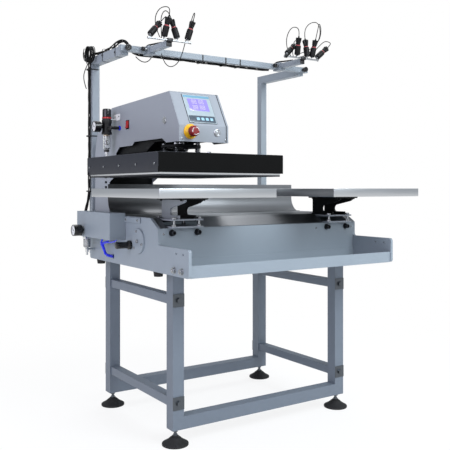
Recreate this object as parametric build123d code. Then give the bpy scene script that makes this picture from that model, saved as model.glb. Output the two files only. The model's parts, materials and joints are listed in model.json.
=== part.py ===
"""Double-station pneumatic heat press: a shuttle head with a heated plate that serves two platens.

Millimetres. +X to the operator's right, +Y to the rear, +Z up. The origin is on the floor under the
middle of the whole machine, with the head parked over the left platen.
"""
from build123d import *
from math import atan2, cos, degrees, pi, sin, sqrt, tan
import os

os.makedirs("parts", exist_ok=True)

# Stations and platens
station_pitch = 790
platen_width = 500
platen_depth = 590
platen_top = 1000
platen_rim_height = 34
platen_base_thickness = 12
platen_rim_wall = 3
platen_corner_radius = 5
pad_clearance = 0.2
pad_recess = 0.5

# Heated plate and its hood
cover_width = 530
cover_depth = 615
cover_reach = 20
cover_top = 1125
cover_bottom = 1055
cover_bend_height = 1074
cover_tuck = 7
cover_wall = 2
sole_gap = 44
press_clearance = 0.5
heater_margin_x = 12
heater_margin_y = 4
heater_thickness = 35
insulation_gap = 1
cover_screw_count = 5
cover_screw_inset = 25
cover_screw_pitch = 141
cover_screw_height = 1085

# Bench body
body_width = 1026
body_depth = 895
body_bottom = 681
body_top = 886
low_front_top = 784
step_top = 847
platen_reach = 28
side_plate = 12
side_plate_radius = 12
sheet = 3
thin_sheet = 2
tray_depth = 232
tray_lip_height = 45
tray_lip_setback = 5
bevel_depth = 64
front_panel_top = 847
deck_setback = 202
panel_screw_height = 825
side_bolt_height = 702
tray_bolt_drop = 21

# Rear guard
guard_width = 1025
guard_top = 1019
guard_straight_bottom = 954
guard_setback = 198
guard_cove_radius = 72
guard_flange = 24

# Stand
leg_size = 50
leg_wall = 2.5
leg_bottom = 62
leg_spread = 840
leg_setback = 262
leg_depth_pitch = 588
side_rail_width = 40
side_rail_height = 35
low_rail_z = 167
high_rail_z = 566
washer_size = 50
washer_thickness = 3
stand_bolt_radius = 6
foot_radius = 52.5
foot_rim = 8
foot_cone_top = 30
foot_hub_radius = 14
foot_hub_top = 36

# Platen brackets
bracket_plate = 8
bracket_half_gap = 32
bracket_base_width = 138
bracket_base_thickness = 6
bracket_overhang = 28
bracket_depth = 147
bracket_screw_offset = 57
bracket_screw_height = 829
beam_bottom = 790
bracket_low_base = 848
bracket_high_base = 876
bracket_top_plate = 9
bracket_bolt_radius = 5

# Head
head_width = 215
head_sheet = 3
head_front_setback = 116
head_bottom = 1172
head_fold = 1234
slope_run = 73
slope_rise = 129
top_rear_inset = 180
top_rear_height = 1349
back_knee_inset = 21
back_knee_height = 1241
head_back_inset = 34
head_back_low = 1152
head_skirt = 897
column_setback = 192
arch_lift = 4
arch_top_lift = 18
vent_rise = 131
vent_pitch = 22
frame_plate = 12
frame_half_gap = 78
frame_foot = 790
frame_top = 1325
frame_arm_bottom = 1148

# Press drive
flange_radius = 78
flange_bottom = 1158
flange_top = 1170
spring_offset = 48
spring_radius = 9.5
spring_wire = 3
spring_turns = 6
spring_seat_gap = 0.4
bolt_radius = 5
cylinder_size = 110
cylinder_bottom = 1210
cylinder_top = 1300
cylinder_bore = 40
piston_rod_radius = 12.5
running_gap = 0.05

# Shuttle drive in the body
rear_rail_setback = 64
rail_pitch = 100
rail_tube_width = 40
rail_tube_top = 735
rail_size = 20
rail_height = 22
block_height = 28
drive_barrel_radius = 16
drive_barrel_z = 722
slide_gap = 0.3

# Controls
estop_x = 48
estop_z = 1209
estop_radius = 20
start_button_x = 164
button_radius = 10
ring_radius = 14
side_button_setback = 108
side_button_z = 1256
rocker_setback = 343
rocker_z = 1265
rocker_width = 22
rocker_height = 30
rocker_tilt = 7
rocker_pin_radius = 2
rocker_pin_reach = 1.2
display_width = 122
display_length = 130
display_x = 47
display_start = 10
display_thickness = 5

# Filter regulator on the head's left side
regulator_offset = 40
regulator_setback = 221
regulator_body_size = 44
regulator_body_bottom = 1229
regulator_body_top = 1293
regulator_ring_top = 1304
regulator_knob_top = 1340
regulator_knob_radius = 18.5
bowl_radius = 15.5
bowl_bottom = 1166
gauge_z = 1262
gauge_radius = 23.5
gauge_length = 30

# Box, gauge and fittings on the body's left side
box_width = 72
box_setback = 22
box_length = 357
box_bottom = 788
box_top = 899
box_wall = 2
box_gauge_setback = 73
box_gauge_z = 816
box_gauge_radius = 25
box_gauge_length = 48
side_knob_setback = 429
side_knob_z = 770
side_knob_radius = 14
side_knob_length = 66
boss_setback = 504
boss_z = 790
boss_radius = 50
inlet_setback = 33
inlet_radius = 5
inlet_length = 14
inlet_bottom = 702
tube_exit_setback = 256
tube_exit_height = 709
strip_low = 861
strip_high = 883

# Gantry
post_size = 35
post_wall = 2
post_inset = 29
post_bottom = 700
arm_bottom = 1568
arm_top = 1606
arm_length = 305.5
cross_rail_size = 25
cross_rail_z = 1594
cross_rail_overhang = 10
gantry_knob_radius = 13

# Laser carriers
left_carrier_x = -374
right_carrier_x = 335
laser_arm_size = 25
laser_arm_z = 1596
laser_arm_reach = 180
clamp_knob_gap = 7
clamp_wall = 6
clamp_nose = 14
laser_rod_radius = 4
laser_rod_length = 204
laser_rod_gap = 7
laser_rod_rise = 12
laser_stem_radius = 2.5
laser_stem_length = 10
laser_ball_radius = 7
laser_radius = 13.5
laser_length = 44
laser_socket = 2
collar_radius = 10.5
collar_length = 7
tail_length = 28
tail_radius = 9
tail_lobes = 6
tail_lobe_radius = 4
boot_length = 8
tie_width = 5
tie_thickness = 1.2
arm_bundle = 7
laser_cable = 3.6
harness_diameter = 12
coil_wire = 6
loose_wire = 4
coil_radius = 34
coil_turns = 4
post_tie_heights = (1548, 1240, 985)

# Places worked out from the sizes above
total_depth = cover_reach + platen_reach + body_depth + post_size
cover_front = -total_depth / 2
platen_front = cover_front + cover_reach
body_front = platen_front + platen_reach
body_back = body_front + body_depth
body_x = (max(cover_width, platen_width) - platen_width) / 4
left_x = body_x - station_pitch / 2
right_x = body_x + station_pitch / 2
head_x = left_x
body_half = body_width / 2
inner_half = body_half - side_plate
panel_y = body_front + tray_depth
deck_end = body_back - deck_setback
guard_back = body_back - guard_setback
bracket_front = panel_y - bracket_overhang
bracket_rear = bracket_front + bracket_depth
rail_rear_y = body_back - rear_rail_setback
rail_front_y = rail_rear_y - rail_pitch
platen_bottom = platen_top - platen_rim_height
sole_bottom = platen_top + sole_gap
heater_top = sole_bottom + heater_thickness
cover_rear = cover_front + cover_depth
press_y = (cover_front + cover_rear) / 2 + 2
head_left = head_x - head_width / 2
head_right = head_x + head_width / 2
leg_front_y = body_front + leg_setback
leg_rear_y = leg_front_y + leg_depth_pitch
leg_top = body_bottom
head_front = platen_front + head_front_setback
head_back = body_back - head_back_inset
head_top_front = (head_front + slope_run, head_fold + slope_rise)
head_top_rear = (head_back - top_rear_inset, top_rear_height)
head_back_knee = (head_back - back_knee_inset, back_knee_height)
column_front = body_back - column_setback
side_button_y = head_front + side_button_setback
rocker_y = head_back - rocker_setback
regulator_y = head_back - regulator_setback
regulator_x = head_left - regulator_offset
left_face = body_x - body_half
box_rear = body_back - box_setback
box_front = box_rear - box_length
box_gauge_y = box_rear - box_gauge_setback
inlet_y = box_rear - inlet_setback
side_knob_y = body_back - side_knob_setback
boss_y = body_back - boss_setback
tube_exit_y = body_back - tube_exit_setback
post_spread = body_width - 2 * post_inset
arm_front = body_back - arm_length
rail_line = arm_front - cross_rail_size / 2
laser_arm_end = rail_line - laser_arm_reach
laser_rod_y = laser_arm_end - laser_rod_gap

parts = {}


def block(x0, x1, y0, y1, z0, z1):
    """A box between two corners."""
    size = Box(x1 - x0, y1 - y0, z1 - z0)
    return Pos((x0 + x1) / 2, (y0 + y1) / 2, (z0 + z1) / 2) * size


def rod(start, direction, radius, length):
    """A cylinder that starts at a point and runs along a direction."""
    plane = Plane(origin=start, z_dir=direction)
    return extrude(plane * Circle(radius), amount=length)


def ring(start, direction, outer, inner, length):
    """A tube along a direction."""
    plane = Plane(origin=start, z_dir=direction)
    return extrude(plane * (Circle(outer) - Circle(inner)), amount=length)


def cone(start, direction, radius_0, radius_1, length):
    """A round taper along a direction."""
    plane = Plane(origin=start, z_dir=direction)
    return plane * Pos(0, 0, length / 2) * Cone(radius_0, radius_1, length)


def hexagon(start, direction, across_flats, length):
    """A hexagonal prism along a direction."""
    plane = Plane(origin=start, z_dir=direction)
    return extrude(plane * RegularPolygon(across_flats / sqrt(3), 6), amount=length)


def hex_bolt(seat, direction, radius, across_flats, head, shank):
    """A hex bolt whose head stands out of its seat along a direction."""
    reverse = tuple(-value for value in direction)
    return hexagon(seat, direction, across_flats, head) + rod(seat, reverse, radius, shank)


def round_screw(seat, direction, head_radius, head, radius, shank):
    """A round-headed screw."""
    reverse = tuple(-value for value in direction)
    return rod(seat, direction, head_radius, head) + rod(seat, reverse, radius, shank)


def prism_x(points, x0, x1):
    """An outline in Y and Z, run along X."""
    corners = [(x0, y, z) for y, z in points]
    face = make_face(Polyline(*corners, close=True))
    return extrude(face, amount=x1 - x0, dir=(1, 0, 0))


def prism_y(points, y0, y1):
    """An outline in X and Z, run along Y."""
    corners = [(x, y0, z) for x, z in points]
    face = make_face(Polyline(*corners, close=True))
    return extrude(face, amount=y1 - y0, dir=(0, 1, 0))


def round_corner(solid, y, z, radius):
    """Rounds the edge along X that passes nearest to a place in Y and Z."""
    edges = solid.edges().filter_by(Axis.X)
    edge = min(edges, key=lambda item: (item.center().Y - y) ** 2 + (item.center().Z - z) ** 2)
    return fillet(edge, radius)


def sheet_outline(points, thickness):
    """The outline of a bent sheet: its outer line and a copy moved to the right of its course."""
    inner = []
    for index, (y, z) in enumerate(points):
        normals = []
        if index > 0:
            normals.append(right_normal(points[index - 1], points[index]))
        if index < len(points) - 1:
            normals.append(right_normal(points[index], points[index + 1]))
        total = (sum(n[0] for n in normals), sum(n[1] for n in normals))
        scale = thickness * len(normals) / (total[0] ** 2 + total[1] ** 2)
        inner.append((y + total[0] * scale, z + total[1] * scale))
    return points + inner[::-1]


def bent_sheet(points, radii, thickness, x0, x1):
    """A sheet along X whose bends all turn right, each with its outer radius."""
    both = sheet_outline(points, thickness)
    outer = [(x0, y, z) for y, z in points]
    inner = [(x0, y, z) for y, z in both[len(points):]]
    outer_line = FilletPolyline(*outer, radius=list(radii))
    inner_line = FilletPolyline(*inner, radius=[radius - thickness for radius in radii[::-1]])
    ends = [Line(outer[-1], inner[0]), Line(inner[-1], outer[0])]
    face = make_face(outer_line.edges() + inner_line.edges() + ends)
    return extrude(face, amount=x1 - x0, dir=(1, 0, 0))


def right_normal(start, end):
    """The unit vector to the right of a line."""
    run = (end[0] - start[0], end[1] - start[1])
    length = sqrt(run[0] ** 2 + run[1] ** 2)
    return (run[1] / length, -run[0] / length)


def square_tube_x(x0, x1, y, z, depth, height, wall):
    """A rectangular tube along X, open at its ends."""
    outer = block(x0, x1, y - depth / 2, y + depth / 2, z - height / 2, z + height / 2)
    half_y = depth / 2 - wall
    half_z = height / 2 - wall
    return outer - block(x0 - 1, x1 + 1, y - half_y, y + half_y, z - half_z, z + half_z)


def square_tube_y(x, y0, y1, z, width, height, wall):
    """A rectangular tube along Y, open at its ends."""
    outer = block(x - width / 2, x + width / 2, y0, y1, z - height / 2, z + height / 2)
    half_x = width / 2 - wall
    half_z = height / 2 - wall
    return outer - block(x - half_x, x + half_x, y0 - 1, y1 + 1, z - half_z, z + half_z)


def square_tube_z(x, y, z0, z1, size, wall):
    """A square tube along Z, open at its ends."""
    half = size / 2
    outer = block(x - half, x + half, y - half, y + half, z0, z1)
    half -= wall
    return outer - block(x - half, x + half, y - half, y + half, z0 - 1, z1 + 1)


def corner_radii(points):
    """The largest arc that each corner of a route has room for."""
    radii = []
    for before, here, after in zip(points, points[1:], points[2:]):
        run_in = Vector(*here) - Vector(*before)
        run_out = Vector(*after) - Vector(*here)
        turn = run_in.get_angle(run_out)
        shorter = min(run_in.length, run_out.length)
        radii.append(0.45 * shorter / tan(turn * pi / 360))
    return radii


def cable(name, points, diameter):
    """A round lead along straight runs and tangent arcs."""
    radii = corner_radii(points)
    path = FilletPolyline(*points, radius=radii)
    plane = Plane(origin=path @ 0, z_dir=path % 0)
    tube = sweep(plane * Circle(diameter / 2), path=path)
    expected = pi * diameter ** 2 / 4 * path.length
    print(name, "length", round(path.length), "least radius", round(min(radii), 1),
          "volume ratio", round(tube.volume / expected, 4))
    return tube


def biarc(start, start_dir, end, end_dir):
    """Two tangent arcs that join two places with given directions."""
    chord = end - start
    both = start_dir + end_dir
    spread = 2 * (1 - start_dir.dot(end_dir))
    along = chord.dot(both)
    reach = (-along + sqrt(along ** 2 + spread * chord.dot(chord))) / spread
    middle = (start + start_dir * reach + end - end_dir * reach) * 0.5
    first = TangentArc(start, middle, tangent=start_dir)
    second = TangentArc(middle, end, tangent=first % 1)
    return [first, second]


def helix_path(centre, axis_x, axis_y, axis_z, radius, pitch, turns):
    """A helix drawn with two arcs for each quarter turn."""
    steps = int(round(turns * 4))
    arcs = []
    places = []
    for step in range(steps + 1):
        angle = step * pi / 2
        place = centre + axis_x * (radius * cos(angle)) + axis_y * (radius * sin(angle))
        place = place + axis_z * (pitch * step / 4)
        course = axis_y * (radius * cos(angle)) - axis_x * (radius * sin(angle))
        course = course + axis_z * (pitch / (2 * pi))
        places.append((place, course.normalized()))
    for (start, start_dir), (end, end_dir) in zip(places, places[1:]):
        arcs += biarc(start, start_dir, end, end_dir)
    return Wire(arcs)


def coil(name, centre, axis_x, axis_y, axis_z, radius, pitch, turns, wire):
    """An open coil of round wire, with its least gap printed."""
    path = helix_path(centre, axis_x, axis_y, axis_z, radius, pitch, turns)
    plane = Plane(origin=path @ 0, z_dir=path % 0)
    print(name, "gap between turns", round(pitch - wire, 2), "turns", turns)
    return sweep(plane * Circle(wire / 2), path=path)


def stand():
    """The welded and bolted leg frame with its levelling feet."""
    half = leg_size / 2
    legs = []
    end_rails = []
    side_rails = []
    fasteners = []
    hole = stand_bolt_radius + 0.5
    plug = leg_size - 2 * leg_wall - 0.4
    for side in (-1, 1):
        x = body_x + side * leg_spread / 2
        for y, outward in ((leg_front_y, -1), (leg_rear_y, 1)):
            leg = square_tube_z(x, y, leg_bottom, leg_top, leg_size, leg_wall)
            for z in (low_rail_z, high_rail_z):
                leg -= rod((x, y - half - 1, z), (0, 1, 0), hole, leg_size + 2)
                face = y + outward * half
                outer = face + outward * washer_thickness
                side_half = washer_size / 2
                washer = block(x - side_half, x + side_half, min(face, outer), max(face, outer),
                               z - side_half, z + side_half)
                washer -= rod((x, y - leg_size, z), (0, 1, 0), hole, 2 * leg_size)
                bolt = hex_bolt((x, outer, z), (0, outward, 0), stand_bolt_radius, 19, 8,
                                leg_size + washer_thickness + 18)
                inner = y - outward * half
                tip = inner - outward * 20
                nut_x = side_rail_width / 2 - leg_wall - 0.2
                nut_z = side_rail_height / 2 - leg_wall - 0.2
                nut = block(x - nut_x, x + nut_x, min(inner, tip), max(inner, tip),
                            z - nut_z, z + nut_z)
                nut -= rod((x, y - leg_size * 2, z), (0, 1, 0), stand_bolt_radius + 0.1, 4 * leg_size)
                fasteners += [washer, bolt, nut]
            legs.append(leg)
            insert = block(x - plug / 2, x + plug / 2, y - plug / 2, y + plug / 2,
                           leg_bottom, leg_bottom + 14)
            insert -= rod((x, y, leg_bottom - 1), (0, 0, 1), 6.1, 16)
            stud = rod((x, y, foot_hub_top - 8), (0, 0, 1), 6, leg_bottom - foot_hub_top + 8 + 34)
            stud += hexagon((x, y, leg_bottom - 10), (0, 0, 1), 19, 10)
            stud += hexagon((x, y, foot_hub_top), (0, 0, 1), 17, 6)
            fasteners += [insert, stud]
            pad = Pos(x, y, foot_rim / 2) * Cylinder(foot_radius, foot_rim)
            pad += cone((x, y, foot_rim), (0, 0, 1), foot_radius - 3, foot_hub_radius + 6,
                        foot_cone_top - foot_rim)
            pad += rod((x, y, foot_cone_top - 1), (0, 0, 1), foot_hub_radius, foot_hub_top - foot_cone_top + 1)
            pad -= rod((x, y, foot_hub_top - 8.2), (0, 0, 1), 6.1, 10)
            parts["foot_" + ("front" if outward < 0 else "rear") + ("_left" if side < 0 else "_right")] = pad
        for z in (low_rail_z, high_rail_z):
            side_rails.append(square_tube_y(x, leg_front_y + half, leg_rear_y - half, z,
                                            side_rail_width, side_rail_height, leg_wall))
    for y in (leg_front_y, leg_rear_y):
        reach = leg_spread / 2 - half
        end_rails.append(square_tube_x(body_x - reach, body_x + reach, y, leg_bottom + half,
                                       leg_size, leg_size, leg_wall))
    parts["stand_legs"] = legs
    parts["stand_rails"] = end_rails + side_rails
    parts["stand_fasteners"] = fasteners


def body_shell():
    """The bench body: side plates, pan with tray, panels, deck and curved guard."""
    step_y = panel_y
    bevel_end = step_y + bevel_depth
    outline = [(body_front, body_bottom), (body_front, low_front_top), (step_y, low_front_top),
               (step_y, step_top), (bevel_end, body_top), (body_back, body_top),
               (body_back, body_bottom)]
    plates = []
    for side in (-1, 1):
        inner = body_x + side * inner_half
        outer = body_x + side * body_half
        plate = prism_x(outline, min(inner, outer), max(inner, outer))
        for y, z in outline[:4] + outline[5:]:
            plate = round_corner(plate, y, z, side_plate_radius)
        for y in (body_front + 40, body_front + 91):
            plate -= rod((min(inner, outer) - 1, y, low_front_top - tray_bolt_drop), (1, 0, 0), 4,
                         side_plate + 2)
        if side < 0:
            plate -= rod((outer - 1, tube_exit_y, tube_exit_height), (1, 0, 0), 10, side_plate + 2)
        plates.append(plate)
    parts["body_side_plates"] = plates

    lip = body_front + tray_lip_setback
    lip_top = body_bottom + tray_lip_height
    left = body_x - inner_half
    right = body_x + inner_half
    pan = block(left, right, lip, body_back - sheet, body_bottom, body_bottom + sheet)
    pan += block(left, right, lip, lip + sheet, body_bottom, lip_top)
    pan += block(left, right, panel_y - sheet, panel_y, body_bottom, lip_top)
    pan += block(left, right, body_back - sheet, body_back, body_bottom, body_top)
    parts["base_pan"] = pan

    panel = block(left, right, panel_y, panel_y + sheet, body_bottom + sheet, front_panel_top)
    for x in (left_x, right_x):
        for offset in (-bracket_screw_offset, bracket_screw_offset):
            panel -= rod((x + offset, panel_y - 1, bracket_screw_height), (0, 1, 0), 6.2, sheet + 2)
    parts["front_panel"] = panel

    deck_line = [(step_y, front_panel_top + thin_sheet), (bevel_end, body_top), (deck_end, body_top),
                 (deck_end, body_top - 40)]
    deck = prism_x(sheet_outline(deck_line, thin_sheet), left, right)
    notch = bracket_base_width / 2 + 8
    for x in (left_x, right_x):
        deck -= block(x - notch, x + notch, step_y - 10, bracket_rear + 6, step_top - 5, body_top + 1)

    half_guard = guard_width / 2
    inner_radius = guard_cove_radius
    outer_radius = guard_cove_radius + thin_sheet
    centre_y = guard_back - outer_radius
    drop = guard_straight_bottom - body_top - thin_sheet
    reach = sqrt(inner_radius ** 2 - drop ** 2)
    outer_reach = sqrt(outer_radius ** 2 - (drop + thin_sheet) ** 2)
    face_y = guard_back - thin_sheet
    toe = centre_y + reach - guard_flange
    lines = [Line((toe, body_top), (toe, body_top + thin_sheet)),
             Line((toe, body_top + thin_sheet), (centre_y + reach, body_top + thin_sheet)),
             arc_between((centre_y, guard_straight_bottom), inner_radius, -atan2(drop, reach), 0),
             Line((face_y, guard_straight_bottom), (face_y, guard_top)),
             Line((face_y, guard_top), (guard_back, guard_top)),
             Line((guard_back, guard_top), (guard_back, guard_straight_bottom)),
             arc_between((centre_y, guard_straight_bottom), outer_radius, 0,
                         -atan2(drop + thin_sheet, outer_reach)),
             Line((centre_y + outer_reach, body_top), (toe, body_top))]
    guard_face = Plane.YZ * make_face(lines)
    guard = Pos(body_x - half_guard, 0, 0) * extrude(guard_face, amount=guard_width, dir=(1, 0, 0))
    parts["deck_and_guard"] = [deck, guard]

    feet = []
    for side in (-1, 1):
        for y in (leg_front_y + 8, leg_rear_y - 30):
            x = body_x + side * (inner_half - 11)
            feet.append(cone((x, y, body_bottom), (0, 0, -1), 20, 17, 20))
    parts["body_feet"] = feet


def arc_between(centre, radius, start, end):
    """An arc about a centre from one angle to another, in radians."""
    middle = (start + end) / 2
    places = [(centre[0] + radius * cos(angle), centre[1] + radius * sin(angle))
              for angle in (start, middle, end)]
    return ThreePointArc(*places)


def platens():
    """Both lower platens on their C-shaped brackets and the beam that carries them."""
    left = body_x - inner_half
    right = body_x + inner_half
    beam_front = panel_y + sheet
    beam = square_tube_x(left, right, (beam_front + bracket_rear) / 2,
                         (bracket_low_base + beam_bottom) / 2, bracket_rear - beam_front,
                         bracket_low_base - beam_bottom, 4)
    plates = []
    bases = []
    trays = []
    pads = []
    screws = []
    top = platen_bottom - bracket_top_plate
    base_top = bracket_high_base + bracket_base_thickness
    nose = bracket_front - 42
    throat = bracket_front + 76
    toe = bracket_front + 7
    heel = bracket_rear - 5
    profile = [(nose, top), (nose, top - 6), (nose + 13, top - 13), (throat - 10, top - 32),
               (throat, top - 45), (throat, base_top + 18), (throat - 10, base_top + 14),
               (toe, base_top + 14), (toe, base_top), (heel, base_top), (heel, top)]
    for x in (left_x, right_x):
        bracket = block(x - 62, x + 62, nose - 5, heel + 3, top, platen_bottom)
        for side in (-1, 1):
            inner = x + side * bracket_half_gap
            outer = inner + side * bracket_plate
            bracket += prism_x(profile, min(inner, outer), max(inner, outer))
        plates.append(bracket)
        half = bracket_base_width / 2
        low = block(x - half, x + half, bracket_front, bracket_rear, bracket_low_base,
                    bracket_low_base + bracket_base_thickness)
        high = block(x - half, x + half, bracket_front, bracket_rear, bracket_high_base, base_top)
        for bolt_x in (x - half + 13, x + half - 13):
            for bolt_y in (bracket_front + 13, bracket_rear - 13):
                hole = rod((bolt_x, bolt_y, bracket_low_base - 1), (0, 0, 1),
                           bracket_bolt_radius + 0.2, 50)
                low -= hole
                high -= hole
                screws.append(hex_bolt((bolt_x, bolt_y, base_top), (0, 0, 1), bracket_bolt_radius,
                                       16, 6, base_top - bracket_low_base))
                screws[-1] += hexagon((bolt_x, bolt_y, bracket_low_base + bracket_base_thickness),
                                      (0, 0, 1), 16, 7)
        bases += [low, high]
        for offset in (-bracket_screw_offset, bracket_screw_offset):
            seat = (x + offset, panel_y, bracket_screw_height)
            screw = round_screw(seat, (0, -1, 0), 9.5, 20, 6, 20)
            screw -= hexagon((seat[0], seat[1] - 21, seat[2]), (0, 1, 0), 10, 9)
            screws.append(screw)
            beam -= rod((x + offset, beam_front - 1, bracket_screw_height), (0, 1, 0), 6.2, 8)
        half_x = platen_width / 2
        rear = platen_front + platen_depth
        tray = block(x - half_x, x + half_x, platen_front, rear, platen_bottom, platen_top)
        tray = fillet(tray.edges().filter_by(Axis.Z), platen_corner_radius)
        floor = platen_bottom + platen_base_thickness
        wall = platen_rim_wall
        tray -= block(x - half_x + wall, x + half_x - wall, platen_front + wall, rear - wall,
                      floor, platen_top + 1)
        trays.append(tray)
        gap = wall + pad_clearance
        pads.append(block(x - half_x + gap, x + half_x - gap, platen_front + gap, rear - gap,
                          floor, platen_top - pad_recess))
    parts["platen_beam"] = beam
    parts["bracket_plates"] = plates
    parts["bracket_bases"] = bases
    parts["platen_trays"] = trays
    parts["platen_pads"] = pads
    return screws


def shuttle():
    """The guide rails and air drive in the body, and the carriage that carries the head."""
    left = body_x - inner_half
    right = body_x + inner_half
    rails = []
    carriage = block(head_x - 100, head_x + 100, column_front + 2, body_back - 24,
                     frame_foot - 12, frame_foot)
    plate_bottom = frame_foot - 12
    tube_height = rail_tube_top - body_bottom - sheet
    for y in (rail_front_y, rail_rear_y):
        rails.append(square_tube_x(left, right, y, rail_tube_top - tube_height / 2,
                                   rail_tube_width, tube_height, 3))
        rails.append(block(left, right, y - rail_size / 2, y + rail_size / 2,
                           rail_tube_top, rail_tube_top + rail_height))
        for x in (head_x - 62, head_x + 62):
            shoe = block(x - 30, x + 30, y - 18, y + 18, plate_bottom - block_height, plate_bottom)
            cut = rail_size / 2 + slide_gap
            shoe -= block(x - 31, x + 31, y - cut, y + cut, plate_bottom - block_height - 1,
                          rail_tube_top + rail_height + slide_gap)
            carriage += shoe
    drive_y = (rail_front_y + rail_rear_y) / 2
    mover = rod((head_x - 40, drive_y, drive_barrel_z), (1, 0, 0), drive_barrel_radius + 12, 80)
    mover += block(head_x - 30, head_x + 30, drive_y - 15, drive_y + 15,
                   drive_barrel_z + 20, plate_bottom)
    mover -= rod((head_x - 50, drive_y, drive_barrel_z), (1, 0, 0),
                 drive_barrel_radius + slide_gap, 100)
    carriage += mover
    rails.append(rod((left, drive_y, drive_barrel_z), (1, 0, 0), drive_barrel_radius, right - left))
    parts["shuttle_rails"] = rails
    parts["shuttle_carriage"] = carriage


def head():
    """The travelling head: black C-frame, sheet covers, air cylinder and control panel."""
    plates = None
    nose = press_y - 70.5
    nose_bottom = frame_arm_bottom + 34
    arm_root = nose + 190
    top_end = head_back - 170
    frame_outline = [(nose, frame_top), (nose, nose_bottom), (nose + 120, nose_bottom),
                     (arm_root, frame_arm_bottom), (column_front + 9, frame_arm_bottom),
                     (column_front + 9, frame_foot), (head_back - 16, frame_foot),
                     (head_back - 16, head_back_low - 22), (head_back - 40, head_back_low + 58),
                     (head_back - 110, frame_top - 55), (top_end, frame_top - 8),
                     (top_end - 30, frame_top)]
    inner_frame = frame_half_gap
    for side in (-1, 1):
        inner = head_x + side * inner_frame
        outer = inner + side * frame_plate
        plate = prism_x(frame_outline, min(inner, outer), max(inner, outer))
        plates = plate if plates is None else plates + plate
    frame = plates
    frame += block(head_x - inner_frame, head_x + inner_frame, press_y - 66, press_y + 66,
                   cylinder_bottom - 14, cylinder_bottom)
    frame += block(head_x - inner_frame, head_x + inner_frame, arm_root, top_end,
                   frame_top - 12, frame_top)
    stand_off = head_width / 2 - head_sheet - inner_frame - frame_plate
    stand_offs = ((nose + 50, frame_top - 35), (top_end - 70, frame_top - 35),
                  (head_back - 60, frame_arm_bottom + 2), (head_back - 80, head_skirt + 53))
    for side in (-1, 1):
        for y, z in stand_offs:
            seat = (head_x + side * (inner_frame + frame_plate), y, z)
            frame += rod(seat, (side, 0, 0), 8, stand_off)
    face_half = head_width / 2 - head_sheet - 2.5
    frame += block(head_x - face_half, head_x + face_half, column_front + 3, column_front + 9,
                   head_skirt, frame_arm_bottom)
    frame -= rod((head_x, press_y, cylinder_bottom - 20), (0, 0, 1), piston_rod_radius + 1, 30)
    for x in (head_x - spring_offset, head_x + spring_offset):
        frame -= rod((x, press_y, cylinder_bottom - 20), (0, 0, 1), 3, 30)
    parts["head_frame"] = frame

    arch = head_bottom + arch_lift
    arch_top = head_bottom + arch_top_lift
    vent_height = head_skirt + vent_rise
    outline = [(head_front, head_bottom), (head_front, head_fold), head_top_front, head_top_rear,
               head_back_knee, (head_back, head_back_low), (head_back, head_skirt),
               (column_front, head_skirt), (column_front, vent_height),
               (column_front - 40, vent_height + 17), (column_front - 69, head_bottom - 21),
               (column_front - 106, arch), (column_front - 228, arch),
               (column_front - 248, arch_top), (head_front + 129, arch_top),
               (head_front + 97, head_bottom)]
    panels = []
    for side in (-1, 1):
        outer = head_x + side * head_width / 2
        inner = outer - side * head_sheet
        panel = prism_x(outline, min(inner, outer), max(inner, outer))
        panel = round_corner(panel, *head_top_rear, 40)
        panel = round_corner(panel, *head_back_knee, 50)
        panel = round_corner(panel, head_back, head_back_low, 60)
        if side < 0:
            panel -= rod((outer - 1, side_button_y, side_button_z), (1, 0, 0),
                         ring_radius - 1, head_sheet + 2)
            panel -= block(outer - 1, inner + 1, rocker_y - 13, rocker_y + 13,
                           rocker_z - 17, rocker_z + 17)
            vent = column_front + 26
            for z in (vent_height - vent_pitch, vent_height, vent_height + vent_pitch):
                panel -= block(outer - 1, inner + 1, vent, vent + 24, z - 5, z + 5)
        panels.append(panel)
    parts["head_side_panels"] = panels

    half = head_width / 2 - head_sheet - 0.2
    top_end = (head_top_front[0] - 1.3, head_top_front[1] - 2.3)
    front_line = [(head_front, head_bottom), (head_front, head_fold), top_end]
    front = prism_x(sheet_outline(front_line, head_sheet), head_x - half, head_x + half)
    for x in (head_left + 13, head_right - 13):
        front -= rod((x, head_front - 1, head_bottom + 10), (0, 1, 0), 2.1, head_sheet + 2)
    estop_place = (head_left + estop_x, head_front - 1, estop_z)
    start_place = (head_left + start_button_x, head_front - 1, estop_z)
    front -= rod(estop_place, (0, 1, 0), 11, head_sheet + 2)
    front -= rod(start_place, (0, 1, 0), ring_radius - 1, head_sheet + 2)
    face_plane, slope_length = slope_plane()
    centre_along = slope_length - display_start - display_length / 2
    centre_x = head_left + display_x + display_width / 2
    window = face_plane * Pos(centre_x, centre_along, -display_thickness / 2 + 2)
    front -= window * Box(display_width + 0.4, display_length + 0.4, 20)
    overlay = window * Box(display_width, display_length, display_thickness)
    parts["control_display"] = fillet(overlay.edges().filter_by(GeomType.LINE).sort_by(
        lambda edge: -edge.length)[8:12], 1.5)

    top_line = [(head_top_front[0] + 0.3, head_top_front[1]), head_top_rear, head_back_knee,
                (head_back, head_back_low), (head_back, head_skirt)]
    cover = bent_sheet(top_line, (40, 50, 60), thin_sheet, head_x - half, head_x + half)
    parts["head_covers"] = [front, cover]

    cylinder = block(head_x - cylinder_size / 2, head_x + cylinder_size / 2,
                     press_y - cylinder_size / 2, press_y + cylinder_size / 2,
                     cylinder_bottom, cylinder_top)
    cylinder = fillet(cylinder.edges().filter_by(Axis.Z), 12)
    cylinder -= rod((head_x, press_y, cylinder_bottom + 8), (0, 0, 1), cylinder_bore,
                    cylinder_top - cylinder_bottom - 16)
    cylinder -= rod((head_x, press_y, cylinder_bottom - 1), (0, 0, 1),
                    piston_rod_radius + running_gap, 20)
    parts["press_cylinder"] = cylinder


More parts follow.
